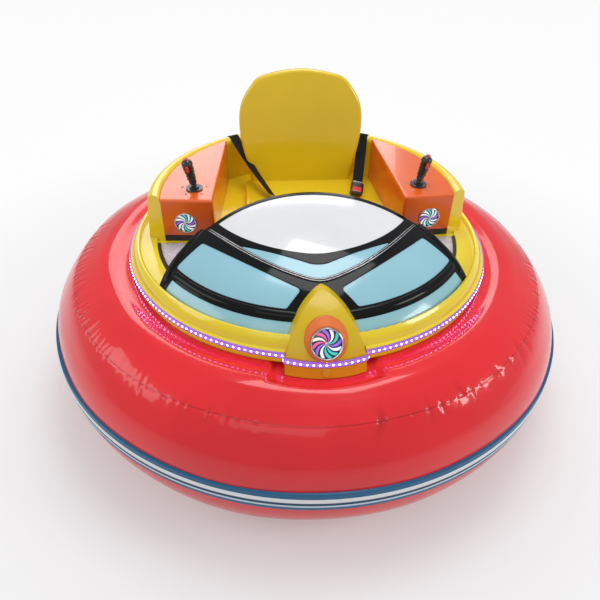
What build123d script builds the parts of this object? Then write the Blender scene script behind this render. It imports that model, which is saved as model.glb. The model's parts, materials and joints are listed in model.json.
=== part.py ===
from build123d import *
import math
import os

# Fairground bumper car: a round moulded hull inside an inflated ring, driven by two sticks.
# Millimetres. X to the right, nose toward -Y, Z up, origin on the floor at the middle of the ring.

# Fits
rest_gap = 0.3            # between pieces that rest on or beside each other
shaft_gap = 0.05          # radial, shaft in bore
run_gap = 6               # between a turning piece and what it passes

# Hull moulding
hull_wall = 6
rim_outer_radius = 660
rim_foot_height = 528
rim_upright = 41
rim_step_height = rim_foot_height + rim_upright     # top of the upright band that carries the light strip
rim_shoulder = (rim_outer_radius - 9, rim_step_height + 5)
rim_flank = (rim_outer_radius - 16, rim_step_height + 25)
rim_crest = (rim_outer_radius - 29, rim_step_height + 42)
rim_crest_inner_radius = rim_crest[0] - 11
rim_cove_height = rim_crest[1] - 19
rim_cove_width = 60
rim_inner_radius = rim_crest_inner_radius - rim_cove_width
deck_drop = 5
deck_height = rim_cove_height - deck_drop
well_radius = rim_inner_radius - 145
well_floor_height = 216

# Inflated ring
tube_half_width = 317
tube_core_radius = rim_outer_radius - 10            # middle of the ellipse that shapes the outer half
tube_outer_radius = tube_core_radius + tube_half_width
tube_equator = rim_foot_height - 235                # height of the widest line
tube_top_rise = 265
tube_floor_gap = 18
tube_lip_radius = rim_outer_radius + 110            # where the outer ellipse hands over to the lip at the rim
tube_shoulder_radius = 60
tube_skirt_height = 170   # where the flat inner wall starts to round away below
tube_base_radius = tube_core_radius - 30
rim_seat_radius = rim_outer_radius + 13             # inner edge of the lip

# Bumper band round the widest line
band_height = 100
band_thickness = 5
band_edge = 3             # how much thinner the band is at its edges
band_rib_proud = 3
band_ribs = ((38, 21), (14, 13))     # lowest height above the band's foot, width

# Step plate, its trim and the kick strips
plate_thickness = 4
plate_reach = 15          # from the well's edge to the plate's
trim_width = 11
trim_height = 8
kick_height = 30
kick_thickness = 5

# Rear wall of the cockpit
cowl_inner_radius = rim_inner_radius - 29
cowl_foot_radius = rim_crest_inner_radius - 30
cowl_top_radius = cowl_foot_radius - 13
cowl_height = deck_height + 183
console_front_y = -66
cowl_end_y = console_front_y + 14                   # front end, at the inner radius
cowl_end_turn = 25        # degrees that the end face turns outward
port_radius = 11.15       # panel hole for the charging plug
port_height = cowl_height - 80
port_bottom = cowl_inner_radius + 24                # how far back the blind end lies

# Consoles
console_inner_front = cowl_inner_radius - 187
console_inner_rear = console_inner_front - 40
console_lean = 1.5        # degrees that the front face leans back
console_turn = 3.5        # degrees that the front face turns outward
console_round = 9
console_top_height = cowl_height - 13
console_top_slope = 1.5
console_back_y = cowl_inner_radius - 51

# Seat
seat_front_y = console_front_y + 6
seat_back_foot_y = cowl_inner_radius - 196
seat_half_width = console_inner_rear - 69
seat_cushion_height = 34
seat_dish_radius = 655
seat_dish_depth = 15
seat_back_height = cowl_height + 292
seat_back_thickness = 42
seat_back_recline = 10
seat_back_half_width = seat_half_width + 15
seat_corner_radius = 60
seat_round = 12
pan_thickness = 5.7

# Bonnet, an ellipsoid of revolution; plan points are degrees from the nose and millimetres in from its edge
dome_radius = rim_outer_radius - 5
dome_centre_height = rim_cove_height - 82
dome_rise = 260
bonnet_wall = 12
window_recess = 3
window_thickness = 6
window_corner_radius = 12
bonnet_edge_radius = rim_crest_inner_radius - rest_gap
bonnet_flank = (61.78, 124.9)
rear_edge_y = -38
rear_edge_radius = 511
rear_corner_x = bonnet_edge_radius - 274.7
bonnet_tip = (56.82, 2.0)
bonnet_flare = (56.71, -178.3)
white_border = 14
white_corner_x = rear_corner_x - 23
white_flank = (37.03, 262.7)
white_apex = (0.00, 250.7)
white_apex_radius = 200
centre_window_tip = (40.74, 229.0)
centre_window_crown = ((4.27, 216.6), (0.00, 212.7))
centre_window_flank = (22.73, 205.5)
centre_window_foot = ((5.05, 164.9), (0.00, 158.7))
centre_window_round = 4
side_window_top = ((6.97, 125.0), (29.12, 177.9), (56.70, 173.4))
side_window_span = (11.4, 56)        # degrees from the nose
side_window_inset = 64.7
strip_window_span = (8, 53.6)
strip_inset = 3.7
strip_width = 31

# Nose, turned about its own upright axis
nose_land_radius = 322
nose_step = 35            # how far its upright land stands out from the rim
nose_axis_y = nose_land_radius - nose_step - rim_outer_radius
nose_base_radius = nose_land_radius + 16
nose_base_height = rim_foot_height - 13
nose_land_bottom = nose_base_height + 30
nose_land_top = rim_step_height + 2
nose_shoulder = (nose_land_radius - 37, rim_crest[1] + 3)      # radius from the nose axis, height
nose_tip = (100, rim_crest[1] + 86)
nose_core_radius = 40
nose_half_width = 122
nose_arch_flank = (115, nose_land_top + 50)                    # half width, height
nose_arch_side = (99, nose_land_top + 82)
nose_arch_high = (56, nose_land_top + 113)
nose_arch_top = nose_tip[1] + 2
nose_bevel = 5
nose_plug_radius = 13.5
nose_plug_height = nose_base_height + 15
nose_plug_proud = 3
pocket_flare = 40

# Lamps
lamp_ring_front = (0, -rim_outer_radius - 12, rim_crest[1] + 6)
lamp_axis_tilt = 33
lamp_ring_radius = 53
lamp_ring_foot_radius = 82
lamp_ring_depth = 46
nose_lamp_radius = lamp_ring_radius - 5
lamp_depth = 8
lamp_crown = 3
console_lamp_radius = 40
console_lamp_x = (console_inner_front + cowl_inner_radius) / 2 + 9.5
console_lamp_height = console_top_height - 90

# Light strip
strip_height = 20
strip_thickness = 4
strip_centre_height = rim_step_height - 11

# Sticks
stick_x = console_inner_front + 69
stick_y = console_front_y + 90
stick_splay = 11          # degrees that each stick stands outward at rest
stick_flange_radius = 30
stick_flange_height = 5
stick_ball_radius = 10
stick_collar_radius = stick_ball_radius + 7
stick_pivot_height = 12
stick_length = 114
stick_shaft_radius = 5.5
grip_foot_height = 26
grip_foot_radius = 14
grip_top_radius = 20
button_radius = 7.5
button_height = 5
trigger_size = (10, 6.4, 22)

# Belts
belt_width = 42
belt_thickness = 2.5
belt_hook_turn = 30.4     # degrees from straight back, where a strap hooks over the cowl
belt_head_radius = cowl_inner_radius - 9
belt_head = (belt_head_radius * math.sin(math.radians(belt_hook_turn)),
             belt_head_radius * math.cos(math.radians(belt_hook_turn)), cowl_height - 27)
belt_hook_low = cowl_height - 42
belt_bend = (belt_head[0], seat_back_foot_y + 10, cowl_height - 88)
belt_feet = {"left": (70 - seat_half_width, belt_bend[1] - 149, deck_height + 58),
             "right": (belt_bend[0] + 4, belt_bend[1] - 83, deck_height + 63)}
belt_upper_turn = 0.56    # how far the width turns out of line for each unit across
belt_lower_turn = 0.2
buckle_length = 62
buckle_width = 52
buckle_thickness = 24
buckle_round = 6

# Running gear
frame_tube_width = 30
frame_tube_height = 40
frame_rail_x = 150
wheel_radius = 100
wheel_width = 45
wheel_x = well_radius - 85
wheel_rim_radius = 62
wheel_dish = 12
wheel_boss_radius = 26
tyre_bevel = 5
axle_radius = 8.5
bracket_thickness = 8
bracket_width = 110
motor_radius = 40
motor_length = 110
outrigger_y = 44
caster_y = well_radius - 85
caster_wheel_radius = 62.5
caster_wheel_width = 32
caster_hub_radius = 38
caster_bevel = 4
caster_trail = 42
caster_pin_radius = 6
caster_axle_radius = 5
caster_plate_size = (105, 85)
caster_plate_thickness = 4
caster_race_radius = 28
caster_race_height = 22
caster_crown_thickness = 7
caster_fork_thickness = 5
caster_cheek_foot = (16, 8, 13)      # half widths at the axle and below it, drop below the axle
battery_size = (170, well_radius - 85, 220)
battery_x = 88
battery_front_y = 8

parts_folder = "parts"


def save(name, *pieces):
    """Write one named piece, or like pieces that share a body, as one file."""
    solids = [solid for piece in pieces for solid in piece.solids()]
    whole = solids[0] if len(solids) == 1 else Compound(children=solids)
    export_step(whole, os.path.join(parts_folder, name + ".step"))


def turned(profile, arc=360):
    """Revolve a face drawn in the XZ plane about the vertical axis."""
    return revolve(profile, Axis.Z, revolution_arc=arc)


def section(*edges):
    """A face in the XZ plane from edges that meet end to end, given as X and Z."""
    return Plane.XZ * make_face(Wire(edges))


def plan(*edges):
    """A face in the floor plane from edges that meet end to end."""
    return make_face(Wire(edges))


def prism(face, low, high):
    """A plan face raised from one height to another."""
    return Pos(0, 0, low) * extrude(face, high - low)


def block(x0, x1, y0, y1, z0, z1):
    """A box between two corners."""
    return Pos((x0 + x1) / 2, (y0 + y1) / 2, (z0 + z1) / 2) * Box(abs(x1 - x0), abs(y1 - y0), abs(z1 - z0))


def ellipse_arc(centre, radius, rise, start, end):
    """Part of an ellipse between two angles, in degrees about its centre."""
    return EllipticalCenterArc(centre, radius, rise, start_angle=start, arc_size=end - start)


def disc(radius, low, high, x=0, y=0):
    """An upright cylinder between two heights."""
    return Pos(x, y, (low + high) / 2) * Cylinder(radius, high - low)


def ring(inner, outer, low, high):
    """An upright ring between two radii and two heights."""
    return disc(outer, low, high) - disc(inner, low - 1, high + 1)


def both_sides(piece):
    """The piece and its mirror image across the middle plane."""
    return [piece, mirror(piece, Plane.YZ)]


def ellipse_point(radius, rise, centre_height, at_radius):
    """Height of an ellipse about the vertical axis at a given radius."""
    return centre_height + rise * math.sqrt(1 - (at_radius / radius) ** 2)


def shell_of_dome(inset, thickness, edge_radius, foot_height):
    """A layer of the bonnet's ellipsoid, cut off at its outer edge and at its foot."""
    outer_radius, outer_rise = dome_radius - inset, dome_rise - inset
    inner_radius, inner_rise = outer_radius - thickness, outer_rise - thickness
    edge_height = ellipse_point(outer_radius, outer_rise, dome_centre_height, edge_radius)
    edge_angle = math.degrees(math.acos(edge_radius / outer_radius))
    foot_angle = math.degrees(math.asin((foot_height - dome_centre_height) / inner_rise))
    foot_radius = inner_radius * math.cos(math.radians(foot_angle))
    centre = (0, dome_centre_height)
    return turned(section(
        ellipse_arc(centre, outer_radius, outer_rise, edge_angle, 90),
        Line((0, dome_centre_height + outer_rise), (0, dome_centre_height + inner_rise)),
        ellipse_arc(centre, inner_radius, inner_rise, foot_angle, 90),
        Line((foot_radius, foot_height), (edge_radius, foot_height)),
        Line((edge_radius, foot_height), (edge_radius, edge_height))))


def make_tube():
    """The inflated ring: an elliptical outer half, a lip beside the rim and a flat inner wall."""
    lip_angle = math.degrees(math.acos((tube_lip_radius - tube_core_radius)
                                       / (tube_outer_radius - tube_core_radius)))
    half_width = tube_outer_radius - tube_core_radius
    lip_height = tube_equator + tube_top_rise * math.sin(math.radians(lip_angle))
    lip_slope = tube_top_rise / half_width / math.tan(math.radians(lip_angle))
    inner = well_radius + hull_wall + rest_gap
    seat = rim_foot_height - rest_gap
    drop = tube_equator - tube_floor_gap
    body = turned(section(
        ellipse_arc((tube_core_radius, tube_equator), half_width, tube_top_rise, 0, lip_angle),
        TangentArc((tube_lip_radius, lip_height), (rim_seat_radius, seat), tangent=(-1, lip_slope)),
        Line((rim_seat_radius, seat), (inner + tube_shoulder_radius, seat)),
        ThreePointArc((inner + tube_shoulder_radius, seat),
                      (inner + tube_shoulder_radius * (1 - math.sqrt(0.5)),
                       seat - tube_shoulder_radius * (1 - math.sqrt(0.5))),
                      (inner, seat - tube_shoulder_radius)),
        Line((inner, seat - tube_shoulder_radius), (inner, tube_skirt_height)),
        ellipse_arc((tube_base_radius, tube_skirt_height), tube_base_radius - inner,
                            tube_skirt_height - tube_floor_gap, 180, 270),
        Line((tube_base_radius, tube_floor_gap), (tube_core_radius, tube_floor_gap)),
        ellipse_arc((tube_core_radius, tube_equator), half_width, drop, 270, 360)))
    return body - make_nose_pocket()


def make_nose_pocket():
    """The dent that the nose presses into the ring, wider toward the top."""
    low = nose_base_height - rest_gap
    high = rim_foot_height + pocket_flare
    cone_height = high - low
    foot = nose_base_radius + nose_plug_proud + rest_gap
    cone = Pos(0, nose_axis_y, (low + high) / 2) * Cone(foot, foot + cone_height, cone_height)
    half = nose_half_width + rest_gap
    wedge = extrude(section(
        Line((-half, low), (half, low)),
        Line((half, low), (half + cone_height, high)),
        Line((half + cone_height, high), (-half - cone_height, high)),
        Line((-half - cone_height, high), (-half, low))), tube_outer_radius, both=True)
    front = block(-tube_outer_radius, tube_outer_radius, -tube_outer_radius, -rim_seat_radius + pocket_flare,
                  low, high)
    return cone & wedge & front


def make_band():
    """The bumper band, with a broad and a narrow rib."""
    face = tube_outer_radius + band_thickness
    half_width = tube_outer_radius - tube_core_radius + rest_gap
    drop = tube_equator - tube_floor_gap
    top, bottom = tube_equator + band_height / 2, tube_equator - band_height / 2
    up_angle = math.asin(band_height / 2 / tube_top_rise)
    down_angle = math.asin(band_height / 2 / drop)
    core = (tube_core_radius, tube_equator)
    band = turned(section(
        ellipse_arc(core, half_width, tube_top_rise, 0, math.degrees(up_angle)),
        Line((tube_core_radius + half_width * math.cos(up_angle), top), (face - band_edge, top)),
        ThreePointArc((face - band_edge, top), (face, tube_equator), (face - band_edge, bottom)),
        Line((face - band_edge, bottom), (tube_core_radius + half_width * math.cos(down_angle), bottom)),
        ellipse_arc(core, half_width, drop, -math.degrees(down_angle), 0)))
    for low, width in band_ribs:
        band += ring(face - band_edge / 2, face + band_rib_proud, bottom + low, bottom + low + width)
    return band


def make_hull():
    """The round hull: rim with crest and cove, deck and the well for legs and batteries."""
    t = hull_wall
    crest_drop = (rim_crest_inner_radius, rim_crest[1] - 9)
    soften = math.sqrt(0.5)
    lip, corner = 3, 12
    outer = [
        Line((rim_outer_radius, rim_foot_height), (rim_outer_radius, rim_step_height)),
        Line((rim_outer_radius, rim_step_height), rim_shoulder),
        ThreePointArc(rim_shoulder, rim_flank, rim_crest),
        ThreePointArc(rim_crest, (rim_crest_inner_radius + 3.2, rim_crest[1] - 2.8), crest_drop),
        Line(crest_drop, (rim_crest_inner_radius, rim_cove_height)),
        Line((rim_crest_inner_radius, rim_cove_height), (rim_inner_radius + lip, rim_cove_height)),
        ThreePointArc((rim_inner_radius + lip, rim_cove_height),
                      (rim_inner_radius + lip * (1 - soften), rim_cove_height - lip * (1 - soften)),
                      (rim_inner_radius, rim_cove_height - lip)),
        Line((rim_inner_radius, rim_cove_height - lip), (rim_inner_radius, deck_height)),
        Line((rim_inner_radius, deck_height), (well_radius + corner, deck_height)),
        ThreePointArc((well_radius + corner, deck_height),
                      (well_radius + corner * (1 - soften), deck_height - corner * (1 - soften)),
                      (well_radius, deck_height - corner)),
        Line((well_radius, deck_height - corner), (well_radius, well_floor_height)),
        Line((well_radius, well_floor_height), (0, well_floor_height)),
    ]
    # radius, height of the underside, from the axis out to the foot
    under = (
        (0, well_floor_height - t),
        (well_radius + t, well_floor_height - t),
        (well_radius + t, deck_height - t),
        (rim_inner_radius + t, deck_height - t),
        (rim_inner_radius + t, rim_cove_height - t),
        (rim_crest_inner_radius + t, rim_cove_height - t),
        (rim_crest_inner_radius + t, rim_crest[1] - 2 * t),
        (rim_crest[0] + 3, rim_crest[1] - 2 * t),
        (rim_shoulder[0] - t, rim_shoulder[1] + 2),
        (rim_outer_radius - t, rim_step_height - t),
        (rim_outer_radius - t, rim_foot_height),
    )
    edges = [Line((0, well_floor_height), under[0])]
    edges += [Line(here, there) for here, there in zip(under, under[1:])]
    edges.append(Line(under[-1], (rim_outer_radius, rim_foot_height)))
    return turned(section(*outer, *edges))


def front_region(high, y):
    """Everything ahead of a line across the car, up to a height."""
    return block(-tube_outer_radius, tube_outer_radius, -tube_outer_radius, y, 0, high)


def console_foot_y():
    """Where the leaning console face meets the deck."""
    drop = console_top_height - deck_height
    return console_front_y - drop * math.tan(math.radians(console_lean))


def make_step_plate():
    """The plate underfoot, a ring sector ahead of the consoles."""
    low = deck_height + rest_gap
    edge = rim_inner_radius - trim_width - 3 * rest_gap
    plate = ring(well_radius + plate_reach, edge, low, low + plate_thickness)
    return plate & front_region(cowl_height, console_foot_y() - kick_thickness)


def make_floor_trim():
    """Black edge round the step plate."""
    low = deck_height + rest_gap
    trim = ring(rim_inner_radius - trim_width - 2 * rest_gap, rim_inner_radius - rest_gap, low, low + trim_height)
    return trim & front_region(cowl_height, console_foot_y() - kick_thickness)


def cowl_end_cut():
    """The half space ahead of the cowl's right end face, out to beyond the rim."""
    depth = 2 * tube_outer_radius
    cut = block(-cowl_inner_radius, depth, -depth, 0, 0, depth)
    return Pos(cowl_inner_radius, cowl_end_y, 0) * Rot(0, 0, cowl_end_turn) * cut


def make_cowl():
    """The horseshoe wall behind the driver, with a rounded top and flat ends."""
    crown = (cowl_top_radius - cowl_inner_radius) / 2
    shoulder = cowl_height - crown
    wall = turned(section(
        Line((cowl_foot_radius, rim_cove_height + rest_gap), (cowl_top_radius, shoulder)),
        ThreePointArc((cowl_top_radius, shoulder), (cowl_top_radius - crown, cowl_height),
                      (cowl_inner_radius, shoulder)),
        Line((cowl_inner_radius, shoulder), (cowl_inner_radius, deck_height + rest_gap)),
        Line((cowl_inner_radius, deck_height + rest_gap), (rim_inner_radius - rest_gap, deck_height + rest_gap)),
        Line((rim_inner_radius - rest_gap, deck_height + rest_gap),
             (rim_inner_radius - rest_gap, rim_cove_height + rest_gap)),
        Line((rim_inner_radius - rest_gap, rim_cove_height + rest_gap),
             (cowl_foot_radius, rim_cove_height + rest_gap))))
    right = cowl_end_cut()
    port = Pos(0, port_bottom, port_height) * Rot(-90, 0, 0) \
        * Cylinder(port_radius, cowl_foot_radius - port_bottom, align=(Align.CENTER, Align.CENTER, Align.MIN))
    return wall - right - mirror(right, Plane.YZ) - front_region(cowl_height + 1, cowl_end_y - run_gap) - port


def console_front(piece):
    """Turn what is drawn across the car into line with the right console's front face."""
    corner = Pos(console_inner_front, console_front_y, 0)
    back = Pos(-console_inner_front, -console_front_y, 0)
    return corner * Rot(0, 0, console_turn) * back * piece


def make_console():
    """Right console: sloping top, turned front face and an inner side toward the seat, all with soft edges."""
    foot = deck_height + pan_thickness + 2 * rest_gap
    reach = cowl_inner_radius - rest_gap
    lean = math.tan(math.radians(console_lean))
    front, back = console_front_y - 2 * kick_height, tube_outer_radius
    far = back - kick_height
    side = extrude(Plane.YZ * make_face(Polyline(
        (console_front_y - (console_top_height - foot) * lean, foot), (console_front_y, console_top_height),
        (far, console_top_at(far)), (far, foot), close=True)), 2 * tube_outer_radius, both=True)
    taper = (console_inner_front - console_inner_rear) / (console_back_y - console_front_y)
    inner = prism(make_face(Polyline(
        (console_inner_front + taper * (console_front_y - front), front),
        (console_inner_front - taper * (back - console_front_y), back),
        (tube_outer_radius, back), (tube_outer_radius, front), close=True)), foot, 2 * cowl_height)
    body = console_front(side) & inner
    shown = [body.faces().sort_by(Axis.Y)[0], body.faces().sort_by(Axis.Z)[-1]]
    edges = [edge for face in shown for edge in face.edges()
             if edge.center().Z > foot + 1 and edge.center().X < tube_outer_radius - 1
             and edge.center().Y < far - 1]
    body = fillet(ShapeList(edges), console_round) & disc(reach, foot, 2 * cowl_height)
    notch_top = deck_height + rest_gap + kick_height
    notch = block(0, tube_outer_radius, -tube_outer_radius, console_foot_y() + kick_thickness,
                  foot - 1, notch_top)
    return body - console_front(notch)


def make_kick_strip():
    """Black strip along the foot of the right console's front."""
    reach = cowl_inner_radius - rest_gap
    low = deck_height + rest_gap
    front = console_foot_y() + kick_thickness - rest_gap
    strip = block(console_inner_front + 1, tube_outer_radius, front - kick_thickness, front,
                  low + pan_thickness + rest_gap, low + kick_height - rest_gap)
    return console_front(strip) & disc(reach, 0, cowl_height)


def make_seat_pan():
    """Moulded pan over the battery bay, with its front wall down to the well floor."""
    low = deck_height + rest_gap
    reach = cowl_inner_radius - rest_gap
    edge = console_foot_y() - rest_gap
    pan = disc(reach, low, low + pan_thickness) & block(-tube_outer_radius, tube_outer_radius, edge,
                                                        tube_outer_radius, low - 1, low + pan_thickness + 1)
    wall = block(-well_radius, well_radius, edge, edge + hull_wall, well_floor_height + rest_gap, low)
    return pan + (wall & disc(well_radius - rest_gap, 0, low + 1))


def make_seat():
    """One moulding: a cushion with rounded corners and a tall back that leans and narrows."""
    foot = deck_height + pan_thickness + 2 * rest_gap
    depth = seat_back_foot_y + seat_back_thickness - seat_front_y
    base = extrude(RectangleRounded(2 * seat_half_width, depth, seat_corner_radius), seat_cushion_height)
    base = fillet(base.faces().sort_by(Axis.Z)[-1].edges(), seat_round)
    base = Pos(0, seat_front_y + depth / 2, foot) * base
    hollow = Pos(0, (seat_front_y + seat_back_foot_y) / 2,
                 foot + seat_cushion_height + seat_dish_radius - seat_dish_depth) * Sphere(seat_dish_radius)
    base = base - hollow
    height = (seat_back_height - foot) / math.cos(math.radians(seat_back_recline))
    # share of the half width, share of the height, from the foot up one side to the top
    left = [(-share * seat_back_half_width, rise * height) for share, rise in (
        (0.81, 0), (0.93, 0.3), (1, 0.6), (0.948, 0.744), (0.8, 0.87), (0.7, 0.925), (0.5, 0.965))]
    right = [other_side(point) for point in reversed(left)]
    outline = Spline(*left, (0, height), *right)
    back = extrude(make_face(Wire([outline, Line(right[-1], left[0])])), seat_back_thickness)
    rims = back.edges().filter_by(lambda edge: abs(edge.center().Z - seat_back_thickness / 2) > 1
                                  and edge.center().Y > 1)
    back = fillet(rims, seat_round)
    lean = math.radians(seat_back_recline)
    plane = Plane(origin=(0, seat_back_foot_y, foot), x_dir=(-1, 0, 0), z_dir=(0, math.cos(lean), -math.sin(lean)))
    back = plane * back - block(-tube_outer_radius, tube_outer_radius, 0, tube_outer_radius, 0, foot)
    return base + back


def dome_outline():
    """The bonnet in plan: an arc across the back, two curved sides and the rim in front."""
    centre_y = rear_edge_y - rear_edge_radius
    corner_y = centre_y + math.sqrt(rear_edge_radius ** 2 - rear_corner_x ** 2)
    tip, side, flare = [on_bonnet(*point) for point in (bonnet_tip, bonnet_flank, bonnet_flare)]
    front = -tube_outer_radius
    return plan(
        ThreePointArc((-rear_corner_x, corner_y), (0, rear_edge_y), (rear_corner_x, corner_y)),
        ThreePointArc((rear_corner_x, corner_y), side, tip),
        Line(tip, flare),
        Line(flare, (flare[0], front)),
        Line((flare[0], front), (-flare[0], front)),
        Line((-flare[0], front), other_side(flare)),
        Line(other_side(flare), other_side(tip)),
        ThreePointArc(other_side(tip), other_side(side), (-rear_corner_x, corner_y)))


def on_bonnet(azimuth, inset):
    """A plan point, by its angle from the nose toward the right and how far in from the bonnet's edge it lies."""
    angle = math.radians(azimuth)
    radius = bonnet_edge_radius - inset
    return (radius * math.sin(angle), -radius * math.cos(angle))


def side_window_outline():
    """Right upper window in plan, with rounded corners."""
    first, last = side_window_span
    low_in, low_middle, low_out = [on_bonnet(azimuth, side_window_inset)
                                   for azimuth in (first, (first + last) / 2, last)]
    high_in, middle, high_out = [on_bonnet(*point) for point in side_window_top]
    face = plan(
        ThreePointArc(high_in, middle, high_out),
        Line(high_out, low_out),
        ThreePointArc(low_out, low_middle, low_in),
        Line(low_in, high_in))
    return fillet(face.vertices(), window_corner_radius)


def strip_outline():
    """Right lower window in plan: a band just inside the rim."""
    first, last = strip_window_span
    azimuths = (first, (first + last) / 2, last)
    outer = [on_bonnet(azimuth, strip_inset) for azimuth in azimuths]
    inner = [on_bonnet(azimuth, strip_inset + strip_width) for azimuth in azimuths]
    return plan(
        ThreePointArc(*inner),
        Line(inner[-1], outer[-1]),
        ThreePointArc(*reversed(outer)),
        Line(outer[0], inner[0]))


def other_side(point):
    """The mirror image of a plan point."""
    return (-point[0], point[1])


def centre_window_outline():
    """The chevron window ahead of the white panel."""
    tip, flank = on_bonnet(*centre_window_tip), on_bonnet(*centre_window_flank)
    crown, crown_middle = [on_bonnet(*point) for point in centre_window_crown]
    foot, foot_middle = [on_bonnet(*point) for point in centre_window_foot]
    return fillet(plan(
        Line(tip, crown),
        ThreePointArc(crown, crown_middle, other_side(crown)),
        Line(other_side(crown), other_side(tip)),
        ThreePointArc(other_side(tip), other_side(flank), other_side(foot)),
        ThreePointArc(other_side(foot), foot_middle, foot),
        ThreePointArc(foot, flank, tip)).vertices(), centre_window_round)


def top_panel_outline():
    """The white panel: an arc along the rear edge and two arcs that meet at a soft point in front."""
    centre_y = rear_edge_y - rear_edge_radius
    radius = rear_edge_radius - white_border
    corner = (white_corner_x, centre_y + math.sqrt(radius ** 2 - white_corner_x ** 2))
    far = other_side(corner)
    point, flank = on_bonnet(*white_apex), on_bonnet(*white_flank)
    face = plan(
        ThreePointArc(far, (0, centre_y + radius), corner),
        ThreePointArc(corner, flank, point),
        ThreePointArc(point, other_side(flank), far))
    return fillet(face.vertices().sort_by(Axis.Y)[0], white_apex_radius)


def window_layer():
    """The recessed layer that every bonnet window is cut from."""
    return shell_of_dome(window_recess, window_thickness, bonnet_edge_radius - strip_inset,
                         rim_cove_height + 2 * rest_gap)


def make_bonnet(outlines):
    """The black dome with its window openings cut through."""
    shell = shell_of_dome(0, bonnet_wall, bonnet_edge_radius, rim_cove_height + rest_gap)
    shell = shell & prism(dome_outline(), 0, 2 * dome_radius)
    for face in outlines:
        shell = shell - prism(face, 0, 2 * dome_radius)
    return shell


def make_pane(face):
    """One pane, a small gap smaller than its opening all round."""
    return window_layer() & prism(offset(face, -rest_gap), 0, 2 * dome_radius)


def nose_profile():
    """The nose's section, drawn from its own upright axis."""
    core_top = (nose_core_radius, nose_land_top)
    return section(
        Line((nose_core_radius, nose_base_height), (nose_base_radius, nose_base_height)),
        Line((nose_base_radius, nose_base_height), (nose_land_radius, nose_land_bottom)),
        Line((nose_land_radius, nose_land_bottom), (nose_land_radius, nose_land_top)),
        ThreePointArc((nose_land_radius, nose_land_top), nose_shoulder, nose_tip),
        Line(nose_tip, core_top),
        Line(core_top, (nose_core_radius, nose_base_height)))


def nose_arch():
    """The pointed arch that the nose shows from the front, as a block through the car's front."""
    foot, spring, top = (nose_half_width, 0), (nose_half_width, nose_land_top), (0, nose_arch_top)
    flank, side, high = nose_arch_flank, nose_arch_side, nose_arch_high
    return extrude(section(
        Line(other_side(foot), foot),
        Line(foot, spring),
        ThreePointArc(spring, flank, side),
        ThreePointArc(side, high, top),
        ThreePointArc(top, other_side(high), other_side(side)),
        ThreePointArc(other_side(side), other_side(flank), other_side(spring)),
        Line(other_side(spring), other_side(foot))), 2 * tube_outer_radius, both=True)


def make_nose():
    """The yellow nose: a turned, pointed arch with bevelled edges that laps over the rim and the bonnet."""
    body = Pos(0, nose_axis_y, 0) * turned(nose_profile())
    body = body & nose_arch()
    body = body & block(-2 * nose_half_width, 2 * nose_half_width, -tube_outer_radius, nose_axis_y, 0, cowl_height)
    rims = [edge for edge in body.edges() if abs(edge.center().X) > nose_arch_high[0] / 2
            and edge.center().Z > nose_land_top and edge.center().Y < nose_axis_y - nose_tip[0]]
    body = chamfer(ShapeList(rims), nose_bevel)
    plug = Pos(0, nose_axis_y - nose_land_radius, nose_plug_height) * Rot(90, 0, 0) \
        * Cylinder(nose_plug_radius, nose_base_radius - nose_land_radius + 2 * nose_plug_proud,
                   align=(Align.CENTER, Align.CENTER, Align.MIN))
    body = body + (plug & Pos(0, nose_axis_y, nose_plug_height)
                   * Cylinder(nose_base_radius + nose_plug_proud, 3 * nose_plug_radius))
    return body - make_nose_seat()


def make_nose_seat():
    """What lies under the nose: the bonnet, the rim and its foot, each with the rest gap."""
    g = rest_gap
    edge = bonnet_edge_radius + g
    outer = rim_outer_radius + g
    dome_edge = ellipse_point(dome_radius + g, dome_rise + g, dome_centre_height, edge)
    angle = math.degrees(math.acos(edge / (dome_radius + g)))
    return turned(section(
        ellipse_arc((0, dome_centre_height), dome_radius + g, dome_rise + g, angle, 90),
        Line((0, dome_centre_height + dome_rise + g), (0, 0)),
        Line((0, 0), (outer, 0)),
        Line((outer, 0), (outer, rim_step_height + g)),
        Line((outer, rim_step_height + g), (rim_shoulder[0] + g, rim_shoulder[1] + 2 * g)),
        Line((rim_shoulder[0] + g, rim_shoulder[1] + 2 * g), (rim_flank[0] + 6, rim_flank[1])),
        Line((rim_flank[0] + 6, rim_flank[1]), (rim_crest[0] + 5, rim_crest[1] + g)),
        Line((rim_crest[0] + 5, rim_crest[1] + g), (edge, rim_crest[1] + g)),
        Line((edge, rim_crest[1] + g), (edge, dome_edge))))


def lamp_plane():
    """Middle of the nose lamp's front, facing out along its axis."""
    tilt = math.radians(lamp_axis_tilt)
    return Plane(origin=lamp_ring_front, x_dir=(1, 0, 0), z_dir=(0, -math.cos(tilt), math.sin(tilt)))


def make_lens(radius):
    """A lamp's lens, slightly crowned, with its front at the origin and its back below it."""
    back = lamp_depth - rest_gap
    crown_radius = (radius ** 2 + lamp_crown ** 2) / (2 * lamp_crown)
    lens = Pos(0, 0, -back / 2) * Cylinder(radius, back)
    cap = Pos(0, 0, -crown_radius) * Sphere(crown_radius)
    return lens & cap


def make_nose_lamp_ring(nose):
    """The orange cone that carries the nose lamp and stands on the nose."""
    cone = Pos(0, 0, -lamp_ring_depth / 2) * Cone(lamp_ring_foot_radius, lamp_ring_radius, lamp_ring_depth)
    cup = Pos(0, 0, -lamp_depth / 2) * Cylinder(nose_lamp_radius + rest_gap, lamp_depth)
    solid = lamp_plane() * (cone - cup) - nose - make_nose_seat()
    strip_top = strip_centre_height + strip_height / 2 + rest_gap
    solid = solid - front_region(strip_top, 0)
    return max(solid.solids(), key=lambda piece: piece.volume)


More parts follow.
